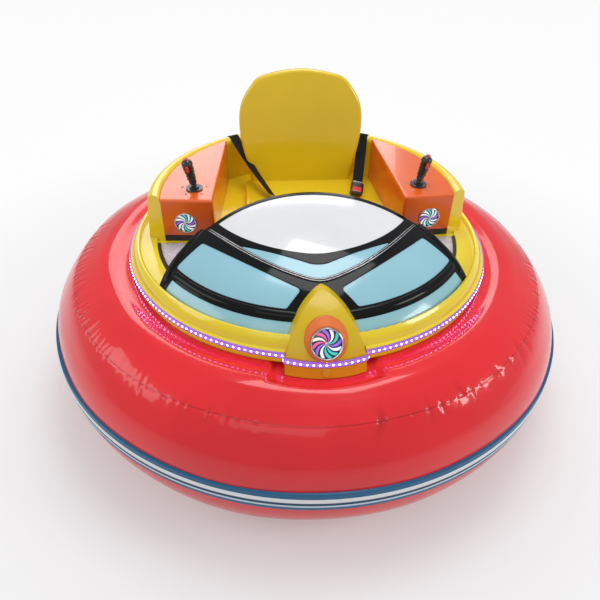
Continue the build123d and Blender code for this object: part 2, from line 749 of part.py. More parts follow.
def console_face_plane(side):
    """A console's front face at the middle of its lamp."""
    lean, turn = math.radians(console_lean), math.radians(console_turn)
    y = console_front_y + (console_lamp_x - console_inner_front) * math.tan(turn) \
        - (console_top_height - console_lamp_height) * math.tan(lean) / math.cos(turn)
    return Plane(origin=(side * console_lamp_x, y, console_lamp_height),
                 x_dir=(math.cos(turn), side * math.sin(turn), 0),
                 z_dir=(side * math.sin(turn) * math.cos(lean), -math.cos(turn) * math.cos(lean), math.sin(lean)))


def console_lamp_pocket():
    """The recess in the right console's front for its lamp."""
    return console_face_plane(1) * (Pos(0, 0, -lamp_depth / 2)
                                    * Cylinder(console_lamp_radius + rest_gap, lamp_depth + 2 * rest_gap))


def make_light_strip():
    """One band round the rim's foot that steps out over the nose."""
    low = strip_centre_height - strip_height / 2
    high = strip_centre_height + strip_height / 2
    inner = rim_outer_radius + rest_gap
    jog_inner = nose_half_width + rest_gap
    jog_outer = jog_inner + strip_thickness
    on_rim = ring(inner, inner + strip_thickness, low, high)
    on_rim = on_rim - block(-jog_inner, jog_inner, -tube_outer_radius, 0, low - 1, high + 1)
    nose_inner = nose_land_radius + rest_gap
    on_nose = Pos(0, nose_axis_y, 0) * ring(nose_inner, nose_inner + strip_thickness, low, high)
    on_nose = on_nose & block(-jog_outer, jog_outer, -tube_outer_radius, nose_axis_y, low, high)
    front = nose_axis_y - math.sqrt(nose_inner ** 2 - jog_outer ** 2)
    back = -math.sqrt(inner ** 2 - jog_inner ** 2)
    strip = on_rim + on_nose
    for side in (-1, 1):
        strip = strip + block(side * jog_inner, side * jog_outer, front - 1, back + 1, low, high)
    return strip - disc(inner, low - 1, high + 1)


def console_top_at(y):
    """Height of a console's top at a distance back."""
    return console_top_height + (y - console_front_y) * math.tan(math.radians(console_top_slope))


def stick_plane(side):
    """Foot of a stick on its console's sloping top."""
    return Plane(origin=(side * stick_x, stick_y, console_top_at(stick_y)), x_dir=(1, 0, 0),
                 z_dir=(0, -math.sin(math.radians(console_top_slope)), math.cos(math.radians(console_top_slope))))


def make_stick_flange(side):
    """The round flange and its collar, with a half-round cup that the stick's ball turns in."""
    flange = Pos(0, 0, rest_gap + stick_flange_height / 2) * Cylinder(stick_flange_radius, stick_flange_height)
    collar = Pos(0, 0, (rest_gap + stick_pivot_height) / 2) \
        * Cylinder(stick_collar_radius, stick_pivot_height - rest_gap)
    cup = Pos(0, 0, stick_pivot_height) * Sphere(stick_ball_radius + shaft_gap)
    return stick_plane(side) * (flange + collar - cup)


def stick_stance(side):
    """A stick's own upright axis, splayed outward about its ball."""
    lift = Pos(0, 0, stick_pivot_height)
    return stick_plane(side) * lift * Rot(0, side * stick_splay, 0) * lift.inverse()


def make_stick(side):
    """Ball, shaft and waisted grip of one stick."""
    top = stick_length
    ball_top = stick_pivot_height + math.sqrt(stick_ball_radius ** 2 - stick_shaft_radius ** 2)
    profile = section(
        ThreePointArc((0, stick_pivot_height - stick_ball_radius), (stick_ball_radius, stick_pivot_height),
                      (stick_shaft_radius, ball_top)),
        Line((stick_shaft_radius, ball_top), (stick_shaft_radius, grip_foot_height)),
        Line((stick_shaft_radius, grip_foot_height), (grip_foot_radius, grip_foot_height)),
        ThreePointArc((grip_foot_radius, grip_foot_height), (grip_foot_radius + 1, 0.6 * top),
                      (grip_top_radius, top - 18)),
        ThreePointArc((grip_top_radius, top - 18), (grip_top_radius - 4, top - 5), (9, top)),
        Line((9, top), (0, top)),
        Line((0, top), (0, stick_pivot_height - stick_ball_radius)))
    return stick_stance(side) * turned(profile)


def make_stick_buttons(side):
    """Red thumb button on top and red trigger on the front."""
    top = stick_length
    button = Pos(0, 0, top + rest_gap + button_height / 2) * Cylinder(button_radius, button_height)
    width, depth, height = trigger_size
    trigger = Pos(0, -grip_top_radius - rest_gap - depth / 2, top - height - 4) \
        * fillet(Box(width, depth, height).edges(), 2.5)
    return [stick_stance(side) * button, stick_stance(side) * trigger]


def strap(start, end, width, thickness, across):
    """A flat strap between two points; across is the direction of its width."""
    start, end = Vector(*start), Vector(*end)
    along = end - start
    normal = along.cross(Vector(*across))
    plane = Plane(origin=(start + end) / 2, x_dir=along.cross(normal).normalized(), z_dir=normal.normalized())
    return plane * Box(width, along.length, thickness)


def make_belt_hook():
    """The right strap's end, laid over the rounded top of the cowl."""
    crown = (cowl_top_radius - cowl_inner_radius) / 2
    middle = cowl_inner_radius + crown
    shoulder = cowl_height - crown
    near = crown + rest_gap
    far = near + belt_thickness
    slant = (cowl_foot_radius - cowl_top_radius) / (shoulder - rim_cove_height - rest_gap) * crown
    low = shoulder - crown
    profile = section(
        Line((middle - near, belt_hook_low), (middle - near, shoulder)),
        ThreePointArc((middle - near, shoulder), (middle, shoulder + near), (middle + near, shoulder)),
        Line((middle + near, shoulder), (middle + near + slant, low)),
        Line((middle + near + slant, low), (middle + far + slant, low)),
        Line((middle + far + slant, low), (middle + far, shoulder)),
        ThreePointArc((middle + far, shoulder), (middle, shoulder + far), (middle - far, shoulder)),
        Line((middle - far, shoulder), (middle - far, belt_hook_low)),
        Line((middle - far, belt_hook_low), (middle - near, belt_hook_low)))
    spread = math.degrees(belt_width / cowl_inner_radius)
    return Rot(0, 0, 90 - belt_hook_turn - spread / 2) * turned(profile, spread)


def make_belt(side_name):
    """One lap strap, from the cowl past the seat back and down to the seat."""
    side = -1 if side_name == "left" else 1
    head = (side * belt_head[0], belt_head[1], belt_head[2])
    bend = (side * belt_bend[0], belt_bend[1], belt_bend[2])
    upper = strap(head, bend, belt_width, belt_thickness, (1, -belt_upper_turn * side, 0))
    lower = strap(bend, belt_feet[side_name], belt_width, belt_thickness, (1, belt_lower_turn * side, 0))
    knee = Pos(*bend) * Sphere(1.5 * belt_thickness)
    hook = make_belt_hook()
    return upper + lower + knee + (hook if side > 0 else mirror(hook, Plane.YZ))


def make_buckle():
    """The buckle at the end of the right strap."""
    bend, foot = Vector(*belt_bend), Vector(*belt_feet["right"])
    along = (foot - bend).normalized()
    normal = along.cross(Vector(1, belt_lower_turn, 0))
    plane = Plane(origin=foot + along * (buckle_length / 2 + rest_gap),
                  x_dir=along.cross(normal).normalized(), z_dir=normal.normalized())
    shell = Box(buckle_width, buckle_length, buckle_thickness)
    return plane * fillet(shell.edges(), buckle_round)


def make_frame():
    """Welded steel frame under the well: two rails, cross members and outriggers."""
    low, top = frame_low(), frame_low() + frame_tube_height
    half = frame_tube_width / 2
    rail = frame_rail_x
    reach = wheel_x - wheel_width / 2 - run_gap
    pad = caster_plate_size[1] / 2 + half
    end = caster_y
    # member: x from, x to, y from, y to
    members = (
        (-rail - half, -rail + half, -end, end),
        (rail - half, rail + half, -end, end),
        (-rail - half, rail + half, -end - pad, -end + pad),
        (-rail - half, rail + half, end - pad, end + pad),
        (-reach, reach, -outrigger_y - half, -outrigger_y + half),
        (-reach, reach, outrigger_y - half, outrigger_y + half),
    )
    pieces = [block(x0, x1, y0, y1, low, top) for x0, x1, y0, y1 in members]
    frame = pieces[0]
    for piece in pieces[1:]:
        frame = frame + piece
    return frame


def frame_low():
    """Underside of the chassis frame, where brackets and caster plates fasten."""
    return well_floor_height - hull_wall - rest_gap - frame_tube_height


def make_bracket(side):
    """Upright plate that carries a drive motor, with its foot bolted under the outriggers."""
    x = side * (wheel_x - wheel_width / 2 - run_gap)
    inner = x - side * bracket_thickness
    top = frame_low() - rest_gap
    plate = block(inner, x, -bracket_width / 2, bracket_width / 2, wheel_radius - motor_radius, top)
    foot = block(x, x - side * 5 * bracket_thickness, -bracket_width / 2, bracket_width / 2,
                 top - bracket_thickness, top)
    bore = Pos(x, 0, wheel_radius) * Rot(0, 90, 0) * Cylinder(axle_radius + run_gap / 2, 4 * bracket_thickness)
    return plate + foot - bore


def make_motor(side):
    """Drive motor with its shaft, which reaches into the wheel."""
    face = wheel_x - wheel_width / 2 - run_gap - bracket_thickness - rest_gap
    body = Pos(side * (face - motor_length / 2), 0, wheel_radius) * Rot(0, 90, 0) \
        * Cylinder(motor_radius, motor_length)
    tip = wheel_x + wheel_width / 2 - run_gap
    start = face - motor_length / 2
    shaft = Pos(side * (start + tip) / 2, 0, wheel_radius) * Rot(0, 90, 0) * Cylinder(axle_radius, tip - start)
    return body + shaft


def make_drive_wheel(side):
    """Hub with a blind bore for the motor shaft, and the solid tyre round it."""
    axis = Pos(side * wheel_x, 0, wheel_radius) * Rot(0, 90, 0)
    rim = Cylinder(wheel_rim_radius, wheel_width)
    bore_depth = wheel_width - run_gap + 1
    bore = Pos(0, 0, -side * (wheel_width - bore_depth) / 2) * Cylinder(axle_radius + shaft_gap, bore_depth)
    dish = Pos(0, 0, side * wheel_width / 2) * (Cylinder(wheel_rim_radius - wheel_dish, wheel_dish)
                                                - Cylinder(wheel_boss_radius, wheel_dish))
    tyre = Cylinder(wheel_radius, wheel_width) - Cylinder(wheel_rim_radius, wheel_width)
    tyre = chamfer(tyre.edges().filter_by(GeomType.CIRCLE).group_by(SortBy.RADIUS)[-1], tyre_bevel)
    return axis * (rim - bore - dish), axis * tyre


def caster_top():
    """Top face of the caster plates."""
    return frame_low() - rest_gap


def make_caster_plate(end):
    """Fixed plate with the swivel pin under it."""
    width, depth = caster_plate_size
    top = caster_top()
    low = top - caster_plate_thickness
    plate = block(-width / 2, width / 2, end * caster_y - depth / 2, end * caster_y + depth / 2, low, top)
    pin = disc(caster_pin_radius, caster_crown() - 4, low, y=end * caster_y)
    return plate + pin


def caster_crown():
    """Underside of the fork's crown."""
    return caster_top() - caster_plate_thickness - caster_race_height


def make_caster_fork(end):
    """Swivel fork: race, crown and two cheeks that trail back to the axle."""
    y = end * caster_y
    low = caster_crown()
    top = caster_top() - caster_plate_thickness - rest_gap
    cheek_x = caster_wheel_width / 2 + run_gap
    wide, narrow, drop = caster_cheek_foot
    axle_y = y + caster_trail
    crown = block(-cheek_x - caster_fork_thickness, cheek_x + caster_fork_thickness,
                  y - caster_race_radius, y + caster_race_radius + 4, low, low + caster_crown_thickness)
    fork = crown + disc(caster_race_radius, low, top, y=y) \
        - disc(caster_pin_radius + shaft_gap, low - 10, top + 10, y=y)
    for side in (-1, 1):
        cheek = Plane.YZ * make_face(Polyline(
            (y - caster_race_radius, low + caster_crown_thickness),
            (y + caster_race_radius + 4, low + caster_crown_thickness),
            (axle_y + wide, caster_wheel_radius), (axle_y + narrow, caster_wheel_radius - drop),
            (axle_y - narrow, caster_wheel_radius - drop), (axle_y - wide, caster_wheel_radius), close=True))
        start = side * cheek_x
        fork = fork + Pos(min(start, start + side * caster_fork_thickness), 0, 0) \
            * extrude(cheek, caster_fork_thickness)
    axle = Pos(0, axle_y, caster_wheel_radius) * Rot(0, 90, 0) \
        * Cylinder(caster_axle_radius, 2 * cheek_x + 4 * caster_fork_thickness)
    return fork + axle


def make_caster_wheel(end):
    """Caster wheel: hub with its bore, and the tyre round it."""
    axis = Pos(0, end * caster_y + caster_trail, caster_wheel_radius) * Rot(0, 90, 0)
    hub = Cylinder(caster_hub_radius, caster_wheel_width)
    hub = hub - Cylinder(caster_axle_radius + shaft_gap, caster_wheel_width)
    tyre = Cylinder(caster_wheel_radius, caster_wheel_width) - Cylinder(caster_hub_radius, caster_wheel_width)
    tyre = chamfer(tyre.edges().filter_by(GeomType.CIRCLE).group_by(SortBy.RADIUS)[-1], caster_bevel)
    return axis * hub, axis * tyre


def make_batteries():
    """Two plain battery blocks side by side in the well."""
    width, depth, height = battery_size
    low = well_floor_height + rest_gap
    return [block(side * (battery_x - width / 2), side * (battery_x + width / 2),
                  battery_front_y, battery_front_y + depth, low, low + height) for side in (-1, 1)]


def build():
    os.makedirs(parts_folder, exist_ok=True)

    save("inflatable_tube", make_tube())
    save("bumper_band", make_band())
    save("hull_tub", make_hull())
    save("step_plate", make_step_plate())
    save("floor_trim", make_floor_trim())
    save("rear_cowl", make_cowl())
    save("seat_pan", make_seat_pan())
    save("seat_shell", make_seat())

    console = make_console() - console_lamp_pocket()
    save("console_right", console)
    save("console_left", mirror(console, Plane.YZ))
    save("kick_strips", *both_sides(make_kick_strip()))
    lenses = [console_face_plane(side) * make_lens(console_lamp_radius) for side in (-1, 1)]
    save("console_lamps", *lenses)

    side_window, strip_window = side_window_outline(), strip_outline()
    centre_window, top_panel = centre_window_outline(), top_panel_outline()
    openings = [side_window, mirror(side_window, Plane.YZ), strip_window, mirror(strip_window, Plane.YZ),
                centre_window, top_panel]
    save("bonnet_shell", make_bonnet(openings))
    save("windows_upper", *both_sides(make_pane(side_window)))
    save("windows_lower", *both_sides(make_pane(strip_window)))
    save("window_centre", make_pane(centre_window))
    save("top_panel", make_pane(top_panel))

    lens_cup = Pos(0, 0, -lamp_depth / 2) * Cylinder(nose_lamp_radius + rest_gap, lamp_depth)
    nose = make_nose() - lamp_plane() * lens_cup
    save("nose_cone", nose)
    save("nose_lamp_ring", make_nose_lamp_ring(nose))
    save("nose_lamp", lamp_plane() * make_lens(nose_lamp_radius))
    save("light_strip", make_light_strip())

    for side, name in ((-1, "left"), (1, "right")):
        save("stick_flange_" + name, make_stick_flange(side))
        save("stick_grip_" + name, make_stick(side))
        save("stick_buttons_" + name, *make_stick_buttons(side))
        save("belt_" + name, make_belt(name))

    save("belt_buckle", make_buckle())
    save("battery_pack", *make_batteries())
    save("chassis_frame", make_frame())
    save("motor_brackets", make_bracket(-1), make_bracket(1))
    save("drive_motors", make_motor(-1), make_motor(1))
    save("caster_plates", make_caster_plate(-1), make_caster_plate(1))
    for side, name in ((-1, "left"), (1, "right")):
        hub, tyre = make_drive_wheel(side)
        save("wheel_hub_" + name, hub)
        save("wheel_tyre_" + name, tyre)
    for end, name in ((-1, "front"), (1, "rear")):
        save("caster_fork_" + name, make_caster_fork(end))
        hub, tyre = make_caster_wheel(end)
        save("caster_hub_" + name, hub)
        save("caster_tyre_" + name, tyre)


build()
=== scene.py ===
import json
import math

import bpy
import numpy as np
from mathutils import Matrix, Vector


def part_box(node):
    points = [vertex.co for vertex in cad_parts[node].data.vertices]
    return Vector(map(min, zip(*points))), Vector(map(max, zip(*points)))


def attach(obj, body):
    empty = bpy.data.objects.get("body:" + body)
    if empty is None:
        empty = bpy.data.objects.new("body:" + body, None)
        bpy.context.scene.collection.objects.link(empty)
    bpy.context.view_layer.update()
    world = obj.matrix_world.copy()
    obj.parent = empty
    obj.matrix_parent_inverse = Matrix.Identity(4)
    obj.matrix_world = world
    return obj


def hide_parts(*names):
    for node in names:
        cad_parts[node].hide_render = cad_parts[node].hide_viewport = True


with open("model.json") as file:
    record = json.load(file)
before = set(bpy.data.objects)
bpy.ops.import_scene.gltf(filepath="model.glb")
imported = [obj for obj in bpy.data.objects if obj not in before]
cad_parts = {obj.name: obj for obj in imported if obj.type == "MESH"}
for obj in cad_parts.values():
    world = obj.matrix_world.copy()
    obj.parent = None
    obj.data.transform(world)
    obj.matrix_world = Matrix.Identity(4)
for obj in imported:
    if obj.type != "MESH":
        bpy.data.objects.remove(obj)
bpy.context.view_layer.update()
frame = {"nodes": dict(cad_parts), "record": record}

bl_info = {
    "name": "Bumper car",
    "version": (1, 0, 0),
    "blender": (4, 5, 0),
    "location": "3D View > Sidebar > Bumper car",
    "description": "Dresses the packed bumper car and sets up its stage",
    "category": "Object",
}

ROOT = "body"

# Places that follow the frame, in metres
RIM_RADIUS = 0.660
STRIP_HEIGHT = 0.558
NOSE_AXIS_Y = -0.373
DOME_CENTRE = 0.510
DOME_RADIUS = 0.655
DOME_RISE = 0.260
CONSOLE_SLOPE = math.radians(1.5)
CONSOLE_FRONT = -0.066
CONSOLE_TOP = 0.757
STICK_PLACE = (0.413, 0.024)
COWL_TURN = math.radians(30.4)
BAND_LOW = 0.2475
BAND_HIGH = 0.3235

# The photograph's camera
CAMERA_PLACE = (-0.18428, -1.83976, 1.71532)
CAMERA_RIGHT = (0.997103, -0.073894, 0.018019)
CAMERA_FORWARD = (0.069017, 0.779466, -0.622631)
CAMERA_LENS = 33.6

# Lamp, its place, the point it faces and its size
LAMPS = (
    ("top", (0.4, 0.7, 4.6), (0, 0, 0.4), (2.4, 2.2)),
    ("back", (-0.1, 4.6, 3.2), (0, 0, 0.6), (3.4, 1.7)),
    ("front", (-1.0, -3.4, 3.4), (0, 0, 0.4), (3.0, 2.0)),
    ("left", (-3.6, -0.6, 2.4), (0, 0, 0.5), (2.6, 1.8)),
    ("right", (3.4, -1.6, 2.2), (0, 0, 0.4), (1.4, 1.0)),
)

# Mesh helpers


def new_piece(name, points, faces, material, body=ROOT, sharp=35):
    """Link a mesh made of points and faces, shaded smooth up to an angle, and let it ride on a body."""
    mesh = bpy.data.meshes.new(name)
    mesh.from_pydata([tuple(float(value) for value in point) for point in points], [], faces)
    mesh.validate()
    mesh.polygons.foreach_set("use_smooth", [True] * len(mesh.polygons))
    mesh.set_sharp_from_angle(angle=math.radians(sharp))
    mesh.update()
    piece = bpy.data.objects.new(name, mesh)
    bpy.context.scene.collection.objects.link(piece)
    mesh.materials.append(material)
    if body:
        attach(piece, body)
    return piece


class Build:
    """Points and faces gathered from several forms into one piece."""

    def __init__(self):
        self.points = []
        self.faces = []

    def add(self, points, faces):
        start = len(self.points)
        self.points.extend(points)
        self.faces.extend(tuple(start + index for index in face) for face in faces)

    def turn(self, matrix, profile, steps):
        """Add an open profile turned about the matrix's own Z."""
        points, faces = turned(profile, steps)
        self.add(placed(matrix, points), faces)

    def piece(self, name, material, body=ROOT, sharp=35):
        return new_piece(name, self.points, self.faces, material, body, sharp)


def frame_of(place, outward, upward=(0, 0, 1)):
    """A matrix at a place whose Z looks outward and whose Y is as near upward as it can be."""
    z = Vector(outward).normalized()
    x = Vector(upward).cross(z)
    x = x.normalized() if x.length > 1e-6 else Vector((1, 0, 0))
    y = z.cross(x)
    return Matrix.Translation(place) @ Matrix((x, y, z)).transposed().to_4x4()


def placed(matrix, points):
    """Points carried by a matrix."""
    return [tuple(matrix @ Vector(point)) for point in points]


def skin(rows, size, round_rows=False, round_size=True, flip=False, capped=False):
    """Faces of a grid of points in rows, which may close on itself both ways and be capped at its ends."""
    faces = []
    for i in range(rows if round_rows else rows - 1):
        a, b = i * size, ((i + 1) % rows) * size
        for j in range(size if round_size else size - 1):
            k = (j + 1) % size
            faces.append((a + j, b + j, b + k, a + k) if flip else (a + j, a + k, b + k, b + j))
    if capped:
        faces.append(tuple(range(size))[::-1])
        faces.append(tuple((rows - 1) * size + j for j in range(size)))
    return faces


def turned(profile, steps):
    """Points and faces of an open profile of (radius, height) turned about Z, with its ends left open."""
    points = []
    for i in range(steps):
        angle = 2 * math.pi * i / steps
        points += [(radius * math.cos(angle), radius * math.sin(angle), height)
                   for radius, height in profile]
    return points, skin(steps, len(profile), round_rows=True, round_size=False, flip=True)


def smooth_line(points, steps):
    """A Catmull-Rom line through points, with a number of steps between neighbours."""
    knots = np.asarray(points, float)
    knots = np.vstack([2 * knots[0] - knots[1], knots, 2 * knots[-1] - knots[-2]])
    line = []
    for i in range(1, len(knots) - 2):
        before, here, there, after = knots[i - 1:i + 3]
        second = 2 * before - 5 * here + 4 * there - after
        third = 3 * here - before - 3 * there + after
        for t in np.arange(steps) / steps:
            line.append(0.5 * (2 * here + (there - before) * t + second * t ** 2 + third * t ** 3))
    line.append(knots[-2])
    return np.array(line)


def bead(path, normals, half_width, height, sides, taper):
    """A half-round bead along a path on a surface with the given normals; its ends are closed."""
    path, normals = np.asarray(path, float), np.asarray(normals, float)
    along = np.gradient(path, axis=0)
    along /= np.linalg.norm(along, axis=1)[:, None]
    across = np.cross(along, normals)
    across /= np.linalg.norm(across, axis=1)[:, None]
    points = []
    count = len(path)
    for i in range(count):
        grow = math.sqrt(min(1.0, min(i, count - 1 - i) / max(1.0, taper * count)))
        for j in range(sides + 1):
            angle = math.pi * j / sides
            points.append(path[i] + across[i] * half_width * math.cos(angle) * (0.3 + 0.7 * grow)
                          + normals[i] * height * math.sin(angle) * grow)
    return points, skin(count, sides + 1, capped=True)


def ribbon(centres, widths, width, thickness):
    """A flat strap along centre points; widths gives the direction of its width at each point."""
    centres, widths = np.asarray(centres, float), np.asarray(widths, float)
    along = np.gradient(centres, axis=0)
    along /= np.linalg.norm(along, axis=1)[:, None]
    widths = widths - along * np.sum(widths * along, axis=1)[:, None]
    widths /= np.linalg.norm(widths, axis=1)[:, None]
    normals = np.cross(widths, along)
    rounding = thickness * 0.3
    side, inner, face = width / 2, width / 2 - rounding, thickness / 2
    outline = [(-side, 0), (-inner, face), (inner, face), (side, 0), (inner, -face), (-inner, -face)]
    points = []
    for centre, sideways, normal in zip(centres, widths, normals):
        points += [centre + sideways * u + normal * v for u, v in outline]
    return points, skin(len(centres), len(outline), capped=True)


# Material helpers


def toned(colour, share):
    """A colour with each channel times a share."""
    return tuple(share * channel for channel in colour)


class Finish:
    """One material, with short names for wiring its nodes."""

    def __init__(self, name, colour, roughness=0.4, **settings):
        self.material = bpy.data.materials.new(name)
        self.material.use_nodes = True
        self.nodes = self.material.node_tree.nodes
        self.links = self.material.node_tree.links
        self.shader = self.nodes["Principled BSDF"]
        self.shader.inputs["Base Color"].default_value = (*colour, 1.0)
        self.shader.inputs["Roughness"].default_value = roughness
        for key, value in settings.items():
            self.shader.inputs[key.replace("_", " ")].default_value = value
        self.place = self.nodes.new("ShaderNodeTexCoord").outputs["Object"]

    def node(self, kind, **inputs):
        made = self.nodes.new(kind)
        for key, value in inputs.items():
            self.feed(value, made.inputs[key.replace("_", " ")])
        return made

    def feed(self, value, socket):
        if isinstance(value, bpy.types.NodeSocket):
            self.links.new(value, socket)
        else:
            socket.default_value = value

    def calc(self, operation, first, second=0.0, clamp=False):
        made = self.nodes.new("ShaderNodeMath")
        made.operation = operation
        made.use_clamp = clamp
        self.feed(first, made.inputs[0])
        self.feed(second, made.inputs[1])
        return made.outputs[0]

    def noise(self, scale, detail=3.0, roughness=0.5, where=None):
        made = self.node("ShaderNodeTexNoise", Scale=scale, Detail=detail, Roughness=roughness)
        self.links.new(where or self.place, made.inputs["Vector"])
        return made.outputs["Fac"]

    def stretched(self, scale, turn=0.0):
        made = self.nodes.new("ShaderNodeMapping")
        made.inputs["Scale"].default_value = scale
        made.inputs["Rotation"].default_value = (0.0, 0.0, turn)
        self.links.new(self.place, made.inputs["Vector"])
        return made.outputs["Vector"]

    def axes(self, where=None):
        made = self.nodes.new("ShaderNodeSeparateXYZ")
        self.links.new(where or self.place, made.inputs[0])
        return made.outputs[0], made.outputs[1], made.outputs[2]

    def radius(self):
        """Distance from the car's upright axis."""
        x, y, _ = self.axes()
        return self.calc("SQRT", self.calc("ADD", self.calc("MULTIPLY", x, x), self.calc("MULTIPLY", y, y)))

    def ramp(self, value, stops, mode="LINEAR"):
        made = self.nodes.new("ShaderNodeValToRGB")
        made.color_ramp.interpolation = mode
        elements = made.color_ramp.elements
        while len(elements) < len(stops):
            elements.new(0.5)
        for element, (position, colour) in zip(elements, stops):
            element.position = position
            element.color = (*colour, 1.0)
        self.feed(value, made.inputs[0])
        return made.outputs[0]

    def span(self, value, low, high, to_low=0.0, to_high=1.0):
        made = self.nodes.new("ShaderNodeMapRange")
        made.clamp = True
        self.feed(value, made.inputs["Value"])
        made.inputs["From Min"].default_value = low
        made.inputs["From Max"].default_value = high
        made.inputs["To Min"].default_value = to_low
        made.inputs["To Max"].default_value = to_high
        return made.outputs["Result"]

    def mix(self, factor, first, second):
        made = self.nodes.new("ShaderNodeMix")
        made.data_type = "RGBA"
        self.feed(factor, made.inputs[0])
        for value, socket in ((first, made.inputs[6]), (second, made.inputs[7])):
            self.feed((*value, 1.0) if isinstance(value, tuple) else value, socket)
        return made.outputs[2]

    def colour(self, value):
        self.feed(value, self.shader.inputs["Base Color"])
        return self

    def gloss(self, value):
        self.feed(value, self.shader.inputs["Roughness"])
        return self

    def mottle(self, noise, low, high, dark, light):
        """Colour from dark to light as a noise goes from low to high."""
        return self.colour(self.mix(self.span(noise, low, high), tuple(dark), tuple(light)))

    def uneven(self, noise, low, high):
        """Gloss from low to high roughness as a noise rises."""
        return self.gloss(self.span(noise, 0.3, 0.7, low, high))

    def soften(self, radius):
        """Round the edges to the eye by a radius."""
        made = self.nodes.new("ShaderNodeBevel")
        made.samples = 4
        made.inputs["Radius"].default_value = radius
        self.links.new(made.outputs[0], self.shader.inputs["Normal"])
        return self

    def bump(self, value, distance, strength=1.0):
        made = self.nodes.new("ShaderNodeBump")
        made.inputs["Strength"].default_value = strength
        made.inputs["Distance"].default_value = distance
        self.feed(value, made.inputs["Height"])
        socket = self.shader.inputs["Normal"]
        if socket.is_linked:
            self.links.new(socket.links[0].from_socket, made.inputs["Normal"])
        self.links.new(made.outputs[0], socket)
        return self

    def glow(self, colour, strength):
        self.feed(colour if isinstance(colour, bpy.types.NodeSocket) else (*colour, 1.0),
                  self.shader.inputs["Emission Color"])
        self.feed(strength, self.shader.inputs["Emission Strength"])
        return self


def moulded(name, colour, roughness, edge=0.0015, coat=0.5, shine=0.5):
    """Gelcoat or moulded plastic: faint mottling and orange peel, uneven gloss, softened edges."""
    made = Finish(name, colour, roughness, Specular_IOR_Level=shine, Coat_Weight=coat, Coat_Roughness=0.05)
    made.mottle(made.noise(3.0, 4.0), 0.35, 0.65, toned(colour, 0.92), colour)
    made.uneven(made.noise(14.0, 3.0), roughness * 0.85, roughness * 1.2)
    if edge:
        made.soften(edge)
    return made.bump(made.noise(60.0, 2.0), 0.00012)


def painted_shade_below(made, upper, lower, low, high):
    """Painted shade: the lower colour up to the first height, blending into the upper colour by the second.
    """
    return made.mottle(made.axes()[2], low, high, lower, upper)


def ring_finish(colour):
    """Glossy welded PVC: fine ripples beside the weld, a darker weld line, and painted shade in the
    creases.
    """
    made = Finish("ring PVC", colour, 0.24, Specular_IOR_Level=0.25, Coat_Weight=0.6, Coat_Roughness=0.04)
    settings = bpy.context.scene.car_ring
    radius = made.radius()
    _, _, height = made.axes()
    off = made.calc("ABSOLUTE", made.calc("SUBTRACT", radius, settings.seam_radius))
    weld = made.calc("MULTIPLY", made.span(off, 0.0008, 0.0026, 1.0, 0.0),
                     made.calc("GREATER_THAN", height, 0.40))
    shade = made.mix(made.span(made.noise(2.2, 3.0), 0.35, 0.65), toned(colour, 0.88), tuple(colour))
    # Painted shade: the creases are darkened toward a deep red by their stored depth
    fold = made.nodes.new("ShaderNodeAttribute")
    fold.attribute_name = "crease"
    shade = made.mix(made.span(fold.outputs["Fac"], 0.05, 1.0, 0.0, 0.5), shade, (0.34, 0.003, 0.006))
    made.colour(made.mix(made.calc("MULTIPLY", weld, 0.45), shade, (0.30, 0.004, 0.008)))
    made.uneven(made.noise(9.0, 4.0), 0.15, 0.24)
    around = made.noise(1.0, 2.0, 0.5, made.stretched((46.0, 46.0, 7.0)))
    near = made.span(off, 0.0, 0.055, 1.0, 0.0)
    made.bump(made.calc("MULTIPLY", around, near), 0.0011)
    return made.bump(made.noise(3.6, 2.0), 0.004, 0.6)


def band_finish(colour):
    """Rubber band striped by height: pale and white stripes on the two ribs, partly the band's own white
    stripes and partly painted highlight, and painted shade in the groove between the ribs.
    """
    made = Finish("band rubber", colour, 0.4, Specular_IOR_Level=0.3, Coat_Weight=0.1, Coat_Roughness=0.15)
    low, high = BAND_LOW, BAND_HIGH
    # Painted shade: the groove between the two ribs is darkened
    dark = toned(colour, 0.45)
    # Pale on the narrow rib and white on the broad rib: partly the band's own white stripes, partly painted
    # highlight on the ribs
    pale = (0.60, 0.74, 0.84)
    white = (0.84, 0.86, 0.88)
    heights = ((0.0, colour), (0.0180, pale), (0.0260, dark), (0.0387, white), (0.0575, colour))
    stops = [(height / (high - low), tone) for height, tone in heights]
    share = made.span(made.axes()[2], low, high)
    made.colour(made.ramp(share, stops, "CONSTANT"))
    made.uneven(made.noise(30.0, 4.0), 0.28, 0.42)
    return made.bump(made.noise(220.0, 2.0), 0.0002)


def tread_finish(colour):
    """Bright tread plate: short raised bars in two directions, brushed between."""
    made = Finish("tread plate", colour, 0.3, Metallic=0.3)
    bars = []
    for turn in (0.785, -0.785):
        x, y, _ = made.axes(made.stretched((1.0, 1.0, 1.0), turn))
        along = made.calc("PINGPONG", made.calc("MULTIPLY", x, 42.0), 0.5)
        across = made.calc("PINGPONG", made.calc("MULTIPLY", y, 84.0), 0.5)
        bars.append(made.calc("MULTIPLY", made.span(along, 0.22, 0.34, 1.0, 0.0),
                              made.span(across, 0.10, 0.20, 1.0, 0.0)))
    height = made.calc("MAXIMUM", bars[0], bars[1])
    brushed = made.noise(1.0, 3.0, 0.6, made.stretched((30.0, 420.0, 30.0), 0.5))
    made.mottle(made.noise(7.0, 5.0, 0.7), 0.35, 0.65, (0.62, 0.59, 0.66), colour)
    made.uneven(brushed, 0.26, 0.44)
    made.bump(height, 0.0014)
    return made.bump(brushed, 0.0002)


def webbing_finish(colour):
    """Woven belt webbing with fine diagonal ribs."""
    made = Finish("webbing", colour, 0.6, Specular_IOR_Level=0.15)
    wave = made.node("ShaderNodeTexWave", Scale=240.0, Distortion=0.6, Detail=1.0)
    wave.bands_direction = "DIAGONAL"
    made.links.new(made.place, wave.inputs["Vector"])
    made.colour(made.mix(wave.outputs["Fac"], toned(colour, 0.55), tuple(colour)))
    return made.bump(wave.outputs["Fac"], 0.0005)


